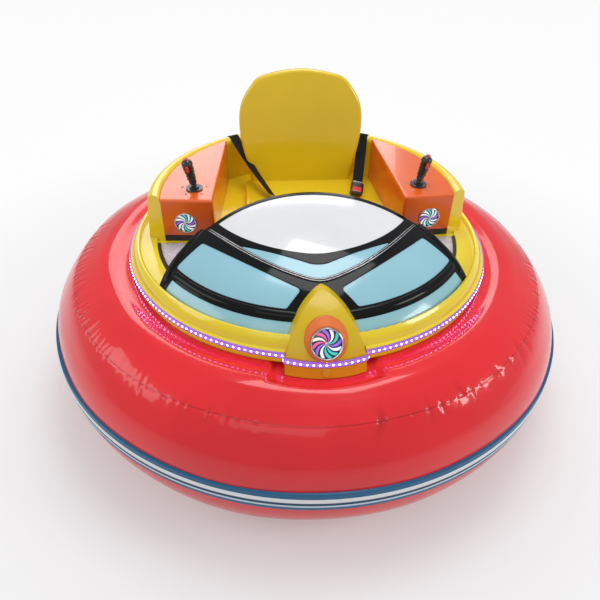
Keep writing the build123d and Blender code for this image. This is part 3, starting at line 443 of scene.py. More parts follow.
def rubber_finish(name, colour, roughness):
    """Matt rubber with dust in its pores."""
    made = Finish(name, colour, roughness)
    dust = made.span(made.noise(45.0, 5.0, 0.7), 0.5, 0.7, 0.0, 0.35)
    made.colour(made.mix(dust, tuple(colour), (0.09, 0.085, 0.08)))
    return made.bump(made.noise(180.0, 3.0), 0.0003)


def metal_finish(name, colour, roughness):
    """Plated or cast metal with a brushed, slightly stained face."""
    made = Finish(name, colour, roughness, Metallic=1.0)
    brushed = made.noise(1.0, 3.0, 0.6, made.stretched((200.0, 20.0, 20.0)))
    made.mottle(made.noise(18.0, 4.0), 0.35, 0.65, toned(colour, 0.8), colour)
    made.uneven(brushed, roughness * 0.8, roughness * 1.3)
    return made.soften(0.0008).bump(brushed, 0.0002)


def strip_finish(colour):
    """Milky light band: a violet glow, brighter along its middle."""
    made = moulded("light band", colour, 0.35, edge=0.0)
    middle = made.calc("ABSOLUTE", made.calc("SUBTRACT", made.axes()[2], STRIP_HEIGHT))
    bright = made.span(middle, 0.002, 0.008, 1.0, 0.0)
    tone = made.mix(bright, (0.26, 0.09, 0.66), (0.42, 0.26, 0.80))
    return made.glow(tone, bpy.context.scene.car_lights.band_glow)


def lens_finish():
    """Dark, faintly mottled reflector behind the pinwheels."""
    made = Finish("lamp back", (0.010, 0.012, 0.05), 0.12, Coat_Weight=0.8, Coat_Roughness=0.03)
    made.mottle(made.noise(60.0, 3.0), 0.4, 0.6, (0.006, 0.008, 0.03), (0.02, 0.02, 0.09))
    return made.bump(made.noise(140.0, 2.0), 0.0002)


def blade_finish(name, colour):
    """Lit lamp blade, slightly streaked."""
    made = moulded(name, colour, 0.2, edge=0.0)
    streak = made.span(made.noise(90.0, 3.0), 0.3, 0.7, 0.7, 1.15)
    strength = made.calc("MULTIPLY", streak, bpy.context.scene.car_lights.blade_glow)
    return made.glow(colour, strength)


# Settings


def colour_setting(name, description, default):
    return bpy.props.FloatVectorProperty(name=name, description=description, subtype="COLOR", size=3,
                                         min=0.0, max=1.0, default=default)


def length_setting(name, description, default):
    return bpy.props.FloatProperty(name=name, description=description, default=default, unit="LENGTH")


def glow_setting(name, description, default):
    return bpy.props.FloatProperty(name=name, description=description, default=default)


def power_setting(name, default):
    description = "Power of the %s" % name.lower()
    return bpy.props.FloatProperty(name=name, description=description, default=default, unit="POWER")


class CarFinishes(bpy.types.PropertyGroup):
    """Colours of the main finishes."""

    ring: colour_setting("Ring", "Inflated ring", (0.84, 0.020, 0.028))
    band: colour_setting("Band", "Bumper band", (0.010, 0.12, 0.26))
    nose: colour_setting("Nose", "Upper part of the nose", (0.68, 0.47, 0.010))
    hull: colour_setting("Hull", "Hull and nose gelcoat", (0.95, 0.74, 0.020))
    cowl: colour_setting("Cowl", "Rear cowl gelcoat", (0.93, 0.66, 0.014))
    seat: colour_setting("Seat", "Seat moulding", (0.86, 0.60, 0.012))
    # The skirt's darker orange is painted shade on its downward-facing face
    nose_skirt_shade: colour_setting("Nose skirt", "Lower part of the nose", (0.74, 0.33, 0.010))
    console: colour_setting("Console", "Stick consoles", (0.86, 0.125, 0.012))
    lamp_ring: colour_setting("Lamp ring", "Boss round the nose lamp", (0.80, 0.17, 0.022))
    bonnet: colour_setting("Bonnet", "Bonnet frame", (0.006, 0.006, 0.007))
    window: colour_setting("Windows", "Bonnet windows", (0.31, 0.59, 0.69))
    panel: colour_setting("Top panel", "White panel behind the bonnet", (0.80, 0.81, 0.84))
    plate: colour_setting("Step plate", "Tread plate", (0.86, 0.84, 0.90))
    # Silver lines on the bonnet's V ridge, partly painted highlight
    trim: colour_setting("Trim", "Silver lines", (0.80, 0.81, 0.83))


class CarRing(bpy.types.PropertyGroup):
    """Weld and creases of the inflated ring."""

    seam_radius: length_setting("Weld radius", "Distance of the weld from the axis", 0.867)
    crease_depth: length_setting("Crease depth", "Depth of a usual crease", 0.0042)
    crease_length: length_setting("Crease length", "Usual length of a crease", 0.045)
    corner: length_setting("Corner", "How far the skin stands out along the upper weld", 0.007)
    steps_round: bpy.props.IntProperty(
        name="Steps round", description="Steps round the ring", default=980, min=60)
    seed: bpy.props.IntProperty(name="Seed", description="Seed that places the creases", default=11)


class CarLights(bpy.types.PropertyGroup):
    """Light strip and lamps."""

    pitch: length_setting("Pitch", "Distance between two lights of the strip", 0.019)
    dot_radius: length_setting("Light radius", "Radius of one light", 0.0029)
    dot_glow: glow_setting("Light glow", "Strength of one light", 15.0)
    band_glow: glow_setting("Band glow", "Strength of the band", 0.8)
    blade_glow: glow_setting("Blade glow", "Strength of a blade", 0.55)
    blades: bpy.props.IntProperty(name="Blades", description="Blades in a pinwheel", default=12, min=3)
    blade_twist: bpy.props.FloatProperty(
        name="Blade twist", description="Turn of a blade from its root to its tip",
        default=math.radians(44), subtype="ANGLE")


class CarBelts(bpy.types.PropertyGroup):
    """Lap belts."""

    width: length_setting("Width", "Width of the webbing", 0.042)
    thickness: length_setting("Thickness", "Thickness of the webbing", 0.0022)


# Operators


class CAR_OT_finishes(bpy.types.Operator):
    """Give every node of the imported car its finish"""

    bl_idname = "car.finishes"
    bl_label = "Finishes"

    def execute(self, context):
        tone = context.scene.car_finishes
        made = {
            "tube_red": ring_finish(tone.ring),
            "band_blue": band_finish(tone.band),
            "hull_yellow": moulded("hull gelcoat", tone.hull, 0.18),
            "cowl_yellow": moulded("cowl gelcoat", tone.cowl, 0.22, edge=0.003),
            "console_orange": moulded("console gelcoat", tone.console, 0.22, edge=0.002),
            "bonnet_black": moulded("bonnet gloss", tone.bonnet, 0.1, edge=0.0025, coat=0.22, shine=0.1),
            "window_blue": moulded("window gloss", tone.window, 0.16, edge=0.001, coat=0.3),
            "panel_white": moulded("panel gloss", tone.panel, 0.14, edge=0.001),
            "plate_steel": tread_finish(tone.plate),
            "trim_black": rubber_finish("edge rubber", (0.014, 0.014, 0.015), 0.45),
            "led_white": strip_finish((0.16, 0.08, 0.28)),
            "lamp_pattern": lens_finish(),
            "stick_black": moulded("grip plastic", (0.014, 0.014, 0.016), 0.28),
            "button_red": moulded("button plastic", (0.70, 0.02, 0.02), 0.2, edge=0.001),
            "flange_grey": moulded("flange plastic", (0.022, 0.022, 0.025), 0.35, edge=0.001),
            "webbing_black": webbing_finish((0.010, 0.010, 0.011)),
            "buckle_black": moulded("buckle plastic", (0.014, 0.014, 0.015), 0.3),
            "frame_grey": moulded("frame paint", (0.05, 0.055, 0.06), 0.45),
            "motor_black": moulded("motor paint", (0.02, 0.02, 0.022), 0.4),
            "zinc": metal_finish("zinc plate", (0.62, 0.63, 0.64), 0.36),
            "tyre_black": rubber_finish("drive tyre", (0.018, 0.018, 0.018), 0.75),
            "caster_tyre": rubber_finish("caster tyre", (0.05, 0.05, 0.055), 0.6),
            "hub_grey": moulded("hub plastic", (0.18, 0.19, 0.2), 0.42),
            "battery_grey": moulded("battery case", (0.06, 0.065, 0.075), 0.5),
        }
        nose = moulded("nose gelcoat", tone.nose, 0.3, edge=0.0025, coat=0.12, shine=0.35)
        # Painted shade: the skirt below the land is darker and more orange than the nose's top
        painted_shade_below(nose, tone.nose, tone.nose_skirt_shade, 0.55, 0.60)
        own = {
            "nose_cone": nose,
            "nose_lamp_ring": moulded("lamp boss", tone.lamp_ring, 0.22, edge=0.003),
            "seat_shell": moulded("seat moulding", tone.seat, 0.2, edge=0.0),
        }
        slots = {part["node"]: part["material_slot"] for part in frame["record"]["subparts"]}
        for name, node in frame["nodes"].items():
            finish = own.get(name) or made[slots[name]]
            if not node.material_slots:
                node.data.materials.append(finish.material)
            for slot in node.material_slots:
                slot.material = finish.material
        return {"FINISHED"}


def node_material(name):
    """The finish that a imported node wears."""
    return frame["nodes"][name].material_slots[0].material


def ring_profile(seam_radius):
    """Section of the inflated ring from the foot of its inner wall, over the top, to its base."""
    core, half, rise, drop, equator = 0.650, 0.317, 0.265, 0.275, 0.293
    skirt, base, wall, floor_gap = 0.170, 0.620, 0.4214, 0.018
    seat, shoulder, lip_end, lip_start = 0.5276, 0.060, 0.700, 0.785
    rows = []
    for angle in np.radians(np.linspace(180, 270, 7)):
        rows.append((base + (base - wall) * math.cos(angle), skirt + (skirt - floor_gap) * math.sin(angle)))
    rows = rows[::-1]
    rows.append((wall, 0.32))
    rows.append((wall, seat - shoulder))
    for angle in np.radians((150, 120, 90)):
        rows.append((wall + shoulder + shoulder * math.cos(angle),
                     seat - shoulder + shoulder * math.sin(angle)))
    rows.append((0.57, seat))
    rows += [(lip_end - 0.030, seat - 0.0006), (lip_end - 0.012, seat - 0.0010),
             (lip_end - 0.005, seat - 0.0004)]
    # Lip: an arc that leaves the ellipse along its slope and ends at the seat
    angle = math.acos((lip_start - core) / half)
    start = np.array((lip_start, equator + rise * math.sin(angle)))
    end = np.array((lip_end, seat))
    slope = np.array((-half * math.sin(angle), rise * math.cos(angle)))
    slope /= np.linalg.norm(slope)
    normal = np.array((slope[1], -slope[0]))
    chord = end - start
    bend = chord.dot(chord) / (2 * chord.dot(normal))
    middle = start + normal * bend
    a0 = math.atan2(*(start - middle)[::-1])
    a1 = math.atan2(*(end - middle)[::-1])
    if a1 < a0:
        a1 += 2 * math.pi
    lip = [middle + abs(bend) * np.array((math.cos(a), math.sin(a))) for a in np.linspace(a0, a1, 13)]
    rows += [tuple(point) for point in lip[::-1][1:]]
    # Outer half, with its steps closed up round the two welds
    seam = math.degrees(math.acos((seam_radius - core) / half))
    close = [seam + 0.7, seam + 0.35, seam, seam - 0.35, seam - 0.7]
    fine = np.concatenate([np.linspace(math.degrees(angle), seam + 1.2, 15)[1:], close,
                           np.linspace(seam - 1.2, 20, 18), np.linspace(18, 0, 5)])
    rows += [(core + half * math.cos(a), equator + rise * math.sin(a)) for a in np.radians(fine)]
    # Lower half, fuller than an ellipse because the air sags onto the floor
    fullness = 0.76
    seam = math.degrees(math.acos(((seam_radius - core) / half) ** (1 / fullness)))
    lower = np.concatenate([np.linspace(4, seam - 1.2, 12), [seam - 0.35, seam, seam + 0.35],
                            np.linspace(seam + 2, 90, 7)])
    rows += [(core + half * math.cos(a) ** fullness, equator - drop * math.sin(a) ** fullness)
             for a in np.radians(lower[:-1])]
    rows.append((core, equator - drop))
    return np.array(rows)


class CAR_OT_ring(bpy.types.Operator):
    """Model the inflated ring with its welds, creases and the dent under the nose"""

    bl_idname = "car.ring"
    bl_label = "Inflated ring"

    def execute(self, context):
        settings = context.scene.car_ring
        top_edge, fade_in, corner_spread, corner_power = 0.70, 0.05, 0.085, 1.3
        rows = ring_profile(settings.seam_radius)
        size, steps = len(rows), settings.steps_round
        length = np.concatenate([[0], np.cumsum(np.linalg.norm(np.diff(rows, axis=0), axis=1))])
        slope = np.gradient(rows, axis=0)
        normal = np.stack([-slope[:, 1], slope[:, 0]], axis=1)
        normal /= np.linalg.norm(normal, axis=1)[:, None]
        outer = rows[:, 0] > top_edge
        upper = outer & (rows[:, 1] > 0.293)
        seams = []
        for picked in (upper, outer & ~upper):
            index = np.where(picked)[0]
            seams.append(length[index[np.argmin(np.abs(rows[index, 0] - settings.seam_radius))]])
        angles = 2 * math.pi * np.arange(steps) / steps
        depth = np.zeros((steps, size))
        groove_width, groove_depth = 0.0022, 0.0013
        for line in seams:
            depth += np.exp(-((length - line) / groove_width) ** 2)[None, :] * groove_depth
        plain = depth.copy()
        self.crease(depth, angles, length, seams, settings)
        crease_shade_mask = (depth - plain) / settings.crease_depth
        corner = np.clip(1 - np.abs(length - seams[0]) / corner_spread, 0, 1) ** corner_power
        depth -= settings.corner * corner[None, :]
        sway = 0.0012 * np.sin(5 * angles + 0.6) + 0.0010 * np.sin(11 * angles + 2.0) + 0.0012
        depth += sway[:, None] * np.where(outer, 1.0, 0.0)[None, :]
        depth[:, ~outer] = 0.0
        edge = np.clip((rows[:, 0] - top_edge) / fade_in, 0, 1)
        depth *= edge[None, :]
        inward = depth * self.outward(rows, normal)
        radius = rows[None, :, 0] - inward * normal[None, :, 0]
        height = rows[None, :, 1] - inward * normal[None, :, 1]
        x, y = radius * np.sin(angles)[:, None], -radius * np.cos(angles)[:, None]
        height = self.nose_dent(x, y, height)
        points = np.stack([x, y, height], axis=2).reshape(-1, 3)
        faces = skin(steps, size, round_rows=True, flip=True)
        ring = new_piece("inflated_ring", points, faces, node_material("inflatable_tube"), sharp=70)
        # The creases' depth is kept on the mesh; the ring's finish paints shade into the creases by it
        stored = ring.data.attributes.new("crease", "FLOAT", "POINT")
        stored.data.foreach_set("value", crease_shade_mask.astype(np.float32).ravel())
        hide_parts("inflatable_tube")
        return {"FINISHED"}

    @staticmethod
    def outward(rows, normal):
        """One where the profile's normal looks out of the ring, minus one where it looks in."""
        side = (rows[:, 0] - 0.65) * normal[:, 0] + (rows[:, 1] - 0.29) * normal[:, 1]
        return np.where(side[None, :] >= 0, 1.0, -1.0)

    @staticmethod
    def crease(depth, angles, length, seams, settings):
        """Press creases into the skin along both welds, thick where the skin is gathered."""
        chance = np.random.RandomState(settings.seed)
        window = 0.06
        # From and to in degrees from the nose, count, then shares of depth, width, and length
        # toward the top and the side
        zones = ((-104, -52, 46, 1.3, 0.9, 1.5, 0.35), (-52, -12, 22, 0.7, 1.3, 0.8, 1.0),
                 (8, 52, 20, 1.2, 2.1, 1.1, 1.2), (52, 92, 32, 1.1, 1.0, 1.2, 0.4),
                 (92, 260, 110, 0.8, 1.0, 0.8, 0.6))
        for line, strength in zip(seams, (1.0, 0.6)):
            for start, end, count, share, broad, toward_top, toward_side in zones:
                steps = np.arange(count) + chance.uniform(-0.4, 0.4, count)
                places = np.radians(start + (end - start) * steps / count)
                for place in places:
                    reach = settings.crease_length * chance.uniform(0.5, 1.5)
                    deep = settings.crease_depth * share * chance.uniform(0.3, 1.0) * strength
                    width = broad * chance.uniform(0.0040, 0.0090)
                    slant = chance.uniform(-0.25, 0.25)
                    along = (angles - place + math.pi) % (2 * math.pi) - math.pi
                    near = np.where(np.abs(along) < window)[0]
                    away = line - length
                    across = np.abs(along[near][:, None] * settings.seam_radius - slant * away[None, :])
                    side = np.where(away > 0, away / (reach * toward_top), -away / (reach * toward_side))
                    fade = np.clip(1 - side, 0, 1) ** 1.5
                    lips = np.exp(-((across - 1.9 * width) / width) ** 2)
                    dip = np.exp(-across / width) - 0.45 * lips
                    depth[near] += deep * dip * fade[None, :]
        np.clip(depth, 0.0, None, out=depth)

    @staticmethod
    def nose_dent(x, y, height):
        """Lower the skin softly where the nose skirt presses into it."""
        dent_radius, dent_half_width, dent_height, dent_slope, soft = 0.368, 0.150, 0.5128, 0.85, 0.010
        front_from, lowest_top = -0.62, 0.48
        from_axis = np.hypot(x, y - NOSE_AXIS_Y)
        ahead = np.maximum(from_axis - dent_radius, np.abs(x) - dent_half_width)
        floor = dent_height + np.maximum(ahead, 0.0) * dent_slope
        blend = np.clip(0.5 + 0.5 * (floor - height) / soft, 0, 1)
        low = floor * (1 - blend) + height * blend - soft * blend * (1 - blend) * 0.5
        low = np.minimum(low, floor)
        return np.where((y < front_from) & (height > lowest_top), np.minimum(height, low), height)


class CAR_OT_band(bpy.types.Operator):
    """Model the bumper band with its broad and its narrow rib"""

    bl_idname = "car.band"
    bl_label = "Bumper band"

    def execute(self, context):
        face = 0.9722
        rows = [(0.955, BAND_HIGH), (face - 0.0032, BAND_HIGH), (face - 0.0010, BAND_HIGH - 0.0012),
                (face, BAND_HIGH - 0.0045)]
        for low, high, proud in ((0.2862, 0.3050, 0.0027), (0.2655, 0.2735, 0.0018)):
            rows += [(face - 0.0004, high + 0.0006), (face + proud * 0.35, high),
                     (face + proud * 0.85, high - 0.0020),
                     (face + proud, (low + high) / 2), (face + proud * 0.85, low + 0.0020),
                     (face + proud * 0.35, low), (face - 0.0004, low - 0.0006)]
        rows += [(face - 0.0006, BAND_LOW + 0.0045), (face - 0.0022, BAND_LOW + 0.0010),
                 (face - 0.0045, BAND_LOW), (0.955, BAND_LOW)]
        points, faces = turned(rows + rows[:1], 720)
        band = new_piece("band_with_ribs", points, faces, node_material("bumper_band"), sharp=40)
        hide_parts("bumper_band")
        return {"FINISHED"}


def nose_surface(height):
    """Distance of the nose's face from its own upright axis, by height."""
    skirt, land, land_low, land_high, foot = 0.338, 0.322, 0.545, 0.571, 0.515
    if height <= land_low:
        return skirt + (land - skirt) * (height - foot) / (land_low - foot)
    if height <= land_high:
        return land
    arc_centre, arc_radius = (0.0767, 0.3973), 0.3006
    return arc_centre[0] + math.sqrt(max(arc_radius ** 2 - (height - arc_centre[1]) ** 2, 0.0))


class CAR_OT_nose(bpy.types.Operator):
    """Model the nose as a pointed arch whose flanks slope down to the bonnet, with the boss on its skirt"""

    bl_idname = "car.nose"
    bl_label = "Nose"

    def execute(self, context):
        # Height of the face, half width of the face, half width and Y where the flank ends
        rows = ((0.515, 0.1220, 0.1220, -0.600), (0.545, 0.1220, 0.1220, -0.600),
                (0.5725, 0.1220, 0.1220, -0.600), (0.5770, 0.1160, 0.1215, -0.629),
                (0.600, 0.1075, 0.1150, -0.618), (0.620, 0.0975, 0.1075, -0.600),
                (0.636, 0.0875, 0.0985, -0.583), (0.650, 0.0770, 0.0890, -0.565),
                (0.663, 0.0635, 0.0760, -0.545), (0.6735, 0.0510, 0.0635, -0.528),
                (0.6815, 0.0375, 0.0490, -0.511), (0.6870, 0.0235, 0.0335, -0.495),
                (0.6902, 0.0100, 0.0190, -0.481), (0.6912, 0.0008, 0.0012, -0.470))
        upper = smooth_line(rows[3:], 6)
        points = []
        across = np.linspace(-1, 1, 15)
        for height, half_face, half_foot, foot_y in [*rows[:3], *upper]:
            foot_z = min(height, self.bonnet(half_foot, foot_y))
            back = (0.92 * half_foot, foot_y + 0.05, foot_z - 0.03)
            row = [(-back[0], back[1], back[2]), (-half_foot, foot_y, foot_z)]
            radius = nose_surface(height)
            for share in across:
                x = share * half_face
                row.append((x, NOSE_AXIS_Y - math.sqrt(radius ** 2 - x ** 2), height))
            row += [(half_foot, foot_y, foot_z), back]
            points += row
        size = len(across) + 4
        build = Build()
        build.add(points, skin(len(points) // size, size, capped=True))
        boss_height = 0.530
        boss = [(0.0134, -0.004), (0.0134, 0.0016), (0.0124, 0.0030), (0.0090, 0.0034), (0.0080, 0.0026),
                (0.0003, 0.0026)]
        slope = math.atan2(0.016, 0.030)
        place = (0.0, NOSE_AXIS_Y - nose_surface(boss_height), boss_height)
        build.turn(frame_of(place, (0, -math.cos(slope), math.sin(slope))), boss, 40)
        nose = build.piece("nose_arch", node_material("nose_cone"), sharp=28)
        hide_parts("nose_cone")
        return {"FINISHED"}

    @staticmethod
    def bonnet(x, y):
        """Height of the bonnet or the rim's crest under a plan point, a little sunk."""
        share = 1 - (x ** 2 + y ** 2) / DOME_RADIUS ** 2
        return DOME_CENTRE + DOME_RISE * math.sqrt(max(share, 0.0)) - 0.003


def strip_route():
    """Plan points and outward directions round the light strip's outer face, clockwise from the back."""
    face = RIM_RADIUS + 0.0043
    jog = 0.1263
    nose_face = 0.3263
    angle = math.asin(jog / face)
    points = []
    for a in np.linspace(angle, 2 * math.pi - angle, 1400):
        points.append((face * math.sin(a), -face * math.cos(a), math.sin(a), -math.cos(a)))
    front_y = NOSE_AXIS_Y - math.sqrt(nose_face ** 2 - jog ** 2)
    back_y = -face * math.cos(angle)
    for y in np.linspace(back_y, front_y, 24)[1:-1]:
        points.append((-jog, y, -1.0, 0.0))
    nose_angle = math.asin(jog / nose_face)
    for a in np.linspace(-nose_angle, nose_angle, 120):
        x, y = math.sin(a), -math.cos(a)
        points.append((nose_face * x, NOSE_AXIS_Y + nose_face * y, x, y))
    for y in np.linspace(front_y, back_y, 24)[1:-1]:
        points.append((jog, y, 1.0, 0.0))
    return np.array(points)


class CAR_OT_lights(bpy.types.Operator):
    """Set the small lights in their strip"""

    bl_idname = "car.lights"
    bl_label = "Light dots"

    def execute(self, context):
        settings = context.scene.car_lights
        route = strip_route()
        ends = np.vstack([route, route[:1]])
        length = np.concatenate([[0], np.cumsum(np.linalg.norm(np.diff(ends[:, :2], axis=0), axis=1))])
        count = int(round(length[-1] / settings.pitch))
        build = Build()
        size = settings.dot_radius
        cap = [(size, 0.0), (size * 0.92, size * 0.28), (size * 0.6, size * 0.48), (0.0003, size * 0.55)]
        for place in length[-1] * np.arange(count) / count:
            values = [np.interp(place, length, ends[:, column]) for column in range(4)]
            build.turn(frame_of((values[0], values[1], STRIP_HEIGHT), (values[2], values[3], 0)), cap, 10)
        made = Finish("light dot", (0.95, 0.9, 1.0), 0.2)
        warm = made.span(made.noise(40.0, 2.0), 0.35, 0.65)
        made.glow(made.mix(warm, (0.72, 0.40, 1.0), (0.85, 0.55, 1.0)), settings.dot_glow)
        build.piece("light_dots", made.material)
        return {"FINISHED"}


def lamp_places():
    """Place, outward direction, radius and name of each lamp."""
    tilt = math.radians(33)
    lamps = [((0.0, -0.672, 0.617), (0.0, -math.cos(tilt), math.sin(tilt)), 0.048, "nose")]
    turn, lean = math.radians(3.5), math.radians(1.5)
    y = CONSOLE_FRONT + (0.447 - 0.344) * math.tan(turn) - 0.090 * math.tan(lean) / math.cos(turn)
    for side, name in ((-1, "left"), (1, "right")):
        outward = (side * math.sin(turn) * math.cos(lean), -math.cos(turn) * math.cos(lean), math.sin(lean))
        lamps.append(((side * 0.447, y, 0.667), outward, 0.040, name))
    return lamps


class CAR_OT_lamps(bpy.types.Operator):
    """Model the pinwheel of curved blades, the hub and the bright rim of each lamp"""

    bl_idname = "car.lamps"
    bl_label = "Pinwheel lamps"

    def execute(self, context):
        settings = context.scene.car_lights
        tones = (
            ("blade white", (0.86, 0.90, 0.98)), ("blade violet", (0.30, 0.12, 0.72)),
            ("blade cream", (0.92, 0.84, 0.74)), ("blade teal", (0.05, 0.55, 0.50)),
            ("blade pink", (0.80, 0.10, 0.30)),
        )
        blades = [blade_finish(name, colour) for name, colour in tones]
        rim = metal_finish("lamp rim", (0.75, 0.76, 0.80), 0.2)
        for place, outward, radius, name in lamp_places():
            matrix = frame_of(place, outward)
            order = (3, 0, 1, 4, 2, 4, 1, 0, 3, 3, 0, 1) if name == "nose" else (0, 0, 3, 0, 0, 1)
            groups = {}
            for number in range(settings.blades):
                tone = order[number % len(order)]
                groups.setdefault(tone, Build()).add(*self.blade(matrix, radius, number, settings))
            for tone, build in groups.items():
                piece = build.piece("blades_%s_%d" % (name, tone), blades[tone].material)
            build = Build()
            band = 0.0016
            ring = [(radius - 3.2 * band, 0.0012), (radius - 2.6 * band, 0.0030),
                    (radius - 1.2 * band, 0.0034), (radius - 0.2 * band, 0.0024),
                    (radius - 0.1 * band, 0.0002)]
            build.turn(matrix, ring, 72)
            build.turn(matrix, [(0.0062, 0.0031), (0.0056, 0.0042), (0.0036, 0.0050), (0.0002, 0.0052)], 20)
            build.piece("lamp_rim_" + name, rim.material)
        return {"FINISHED"}

    @staticmethod
    def blade(matrix, radius, number, settings):
        """One curved blade that follows the lens's crown."""
        crown = 0.003
        ball = (radius ** 2 + crown ** 2) / (2 * crown)
        points = []
        steps, sides = 14, 3
        base = 2 * math.pi * number / settings.blades
        half = math.pi / settings.blades
        for i in range(steps + 1):
            share = i / steps
            r = radius * (0.09 + 0.79 * share)
            turn = base + settings.blade_twist * share ** 1.2
            for j in range(sides + 1):
                wide = half * (0.42 + 0.34 * share * (1 - share ** 6)) * (2 * j / sides - 1)
                lift = 0.00035 * math.sin(math.pi * j / sides)
                height = math.sqrt(ball ** 2 - r ** 2) - ball + 0.0003 + lift
                points.append((r * math.cos(turn + wide), r * math.sin(turn + wide), height))
        return placed(matrix, points), skin(steps + 1, sides + 1, round_size=False, flip=True)


def on_dome(plan, lift=0.0):
    """Points on the bonnet above plan points, with the dome's normals there."""
    plan = np.asarray(plan, float)
    share = 1 - (plan[:, 0] ** 2 + plan[:, 1] ** 2) / DOME_RADIUS ** 2
    height = DOME_CENTRE + DOME_RISE * np.sqrt(np.clip(share, 0, 1))
    normals = np.stack([plan[:, 0] / DOME_RADIUS ** 2, plan[:, 1] / DOME_RADIUS ** 2,
                        (height - DOME_CENTRE) / DOME_RISE ** 2], axis=1)
    normals /= np.linalg.norm(normals, axis=1)[:, None]
    return np.column_stack([plan, height]) + normals * lift, normals


def mirrored(points):
    """The same plan points on the other side."""
    return [(-x, y) for x, y in points]


class CAR_OT_bonnet(bpy.types.Operator):
    """Lay the raised black bars and the silver lines on the bonnet; the silver lines stand partly for
    silver trim and partly for painted highlight along the V ridge
    """

    bl_idname = "car.bonnet"
    bl_label = "Bonnet bars"

    def execute(self, context):
        black = node_material("bonnet_shell")
        silver = metal_finish("silver line", context.scene.car_finishes.trim, 0.22).material
        # The V ridge, from one rear corner down to the middle and up again
        half = [(0.356, -0.190), (0.312, -0.243), (0.266, -0.295), (0.222, -0.339), (0.178, -0.377),
                (0.125, -0.415), (0.070, -0.445), (0.030, -0.461)]
        ridge = smooth_line(half + [(0.0, -0.466)] + mirrored(half)[::-1], 8)
        bars, lines = Build(), Build()
        low_radius = 0.570
        points, normals = on_dome(ridge)
        bars.add(*bead(points, normals, 0.0085, 0.0040, 8, 0.04))
        # Silver lines along both edges of the V ridge: partly silver trim, partly painted highlight on the
        # ridge's edges
        for offset in (-0.0032, 0.0032):
            shifted = self.shifted(ridge, offset)
            points, normals = on_dome(shifted, 0.0030)
            lines.add(*bead(points, normals, 0.0011, 0.0013, 4, 0.02))
        # Lower bars, between the upper and the lower windows, and the side bars down to the rim
        for flip in (False, True):
            angles = np.radians(np.linspace(7.0, 56.0, 42))
            low = [(low_radius * math.sin(a), -low_radius * math.cos(a)) for a in angles]
            side = [(0.372, -0.180), (0.410, -0.222), (0.448, -0.268), (0.478, -0.308), (0.502, -0.345)]
            for route, half_width, height in ((low, 0.0120, 0.0050), (side, 0.0110, 0.0050)):
                route = mirrored(route) if flip else route
                line = smooth_line(route, 6)
                points, normals = on_dome(line)
                bars.add(*bead(points, normals, half_width, height, 10, 0.05))
        bars.piece("bonnet_bars", black, sharp=60)
        lines.piece("bonnet_silver_highlight_lines", silver, sharp=60)
        return {"FINISHED"}

    @staticmethod
    def shifted(line, offset):
        """A plan line moved sideways."""
        along = np.gradient(np.asarray(line, float), axis=0)
        along /= np.linalg.norm(along, axis=1)[:, None]
        return np.asarray(line) + np.stack([along[:, 1], -along[:, 0]], axis=1) * offset


class CAR_OT_belts(bpy.types.Operator):
    """Model the webbing of both lap belts over the cowl and down to the seat"""

    bl_idname = "car.belts"
    bl_label = "Lap belts"

    def execute(self, context):
        settings = context.scene.car_belts
        for name, side, foot in (("left", -1, (-0.128, 0.182, 0.645)), ("right", 1, (0.218, 0.206, 0.650))):
            points, faces = ribbon(*self.route(side, foot), settings.width, settings.thickness)
            piece = new_piece("webbing_" + name, points, faces, node_material("belt_" + name), sharp=50)
            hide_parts("belt_" + name)
        return {"FINISHED"}

    @staticmethod
    def route(side, foot):
        """Centre points and width directions, from behind the cowl to the foot of the belt."""
        out = np.array((side * math.sin(COWL_TURN), math.cos(COWL_TURN), 0.0))
        tangent = np.array((math.cos(COWL_TURN), -side * math.sin(COWL_TURN), 0.0))
        crown, middle, shoulder = 0.0246, 0.554, 0.747
        rows = [(middle + crown + 0.0022, 0.724), (middle + crown + 0.0010, 0.736)]
        rows += [(middle + crown * math.cos(a), shoulder + crown * math.sin(a))
                 for a in np.radians(np.linspace(0, 112, 7))]
        centres = [out * r + np.array((0, 0, z)) for r, z in rows]
        widths = [tangent] * len(centres)
        start, foot = centres[-1], np.array(foot)
        lower_width = np.array((0.611, 0.521, -0.597) if side < 0 else (1.0, 0.25, 0.0))
        for share in (0.12, 0.3, 0.5, 0.7, 0.86, 1.0):
            sag = -0.014 * math.sin(math.pi * share ** 0.8)
            centres.append(start * (1 - share) + foot * share + np.array((0, 0, sag)))
            twist = share ** 0.7
            widths.append(tangent * (1 - twist) + lower_width * twist)
        line = smooth_line(centres, 4)
        across = smooth_line(widths, 4)
        return line, across


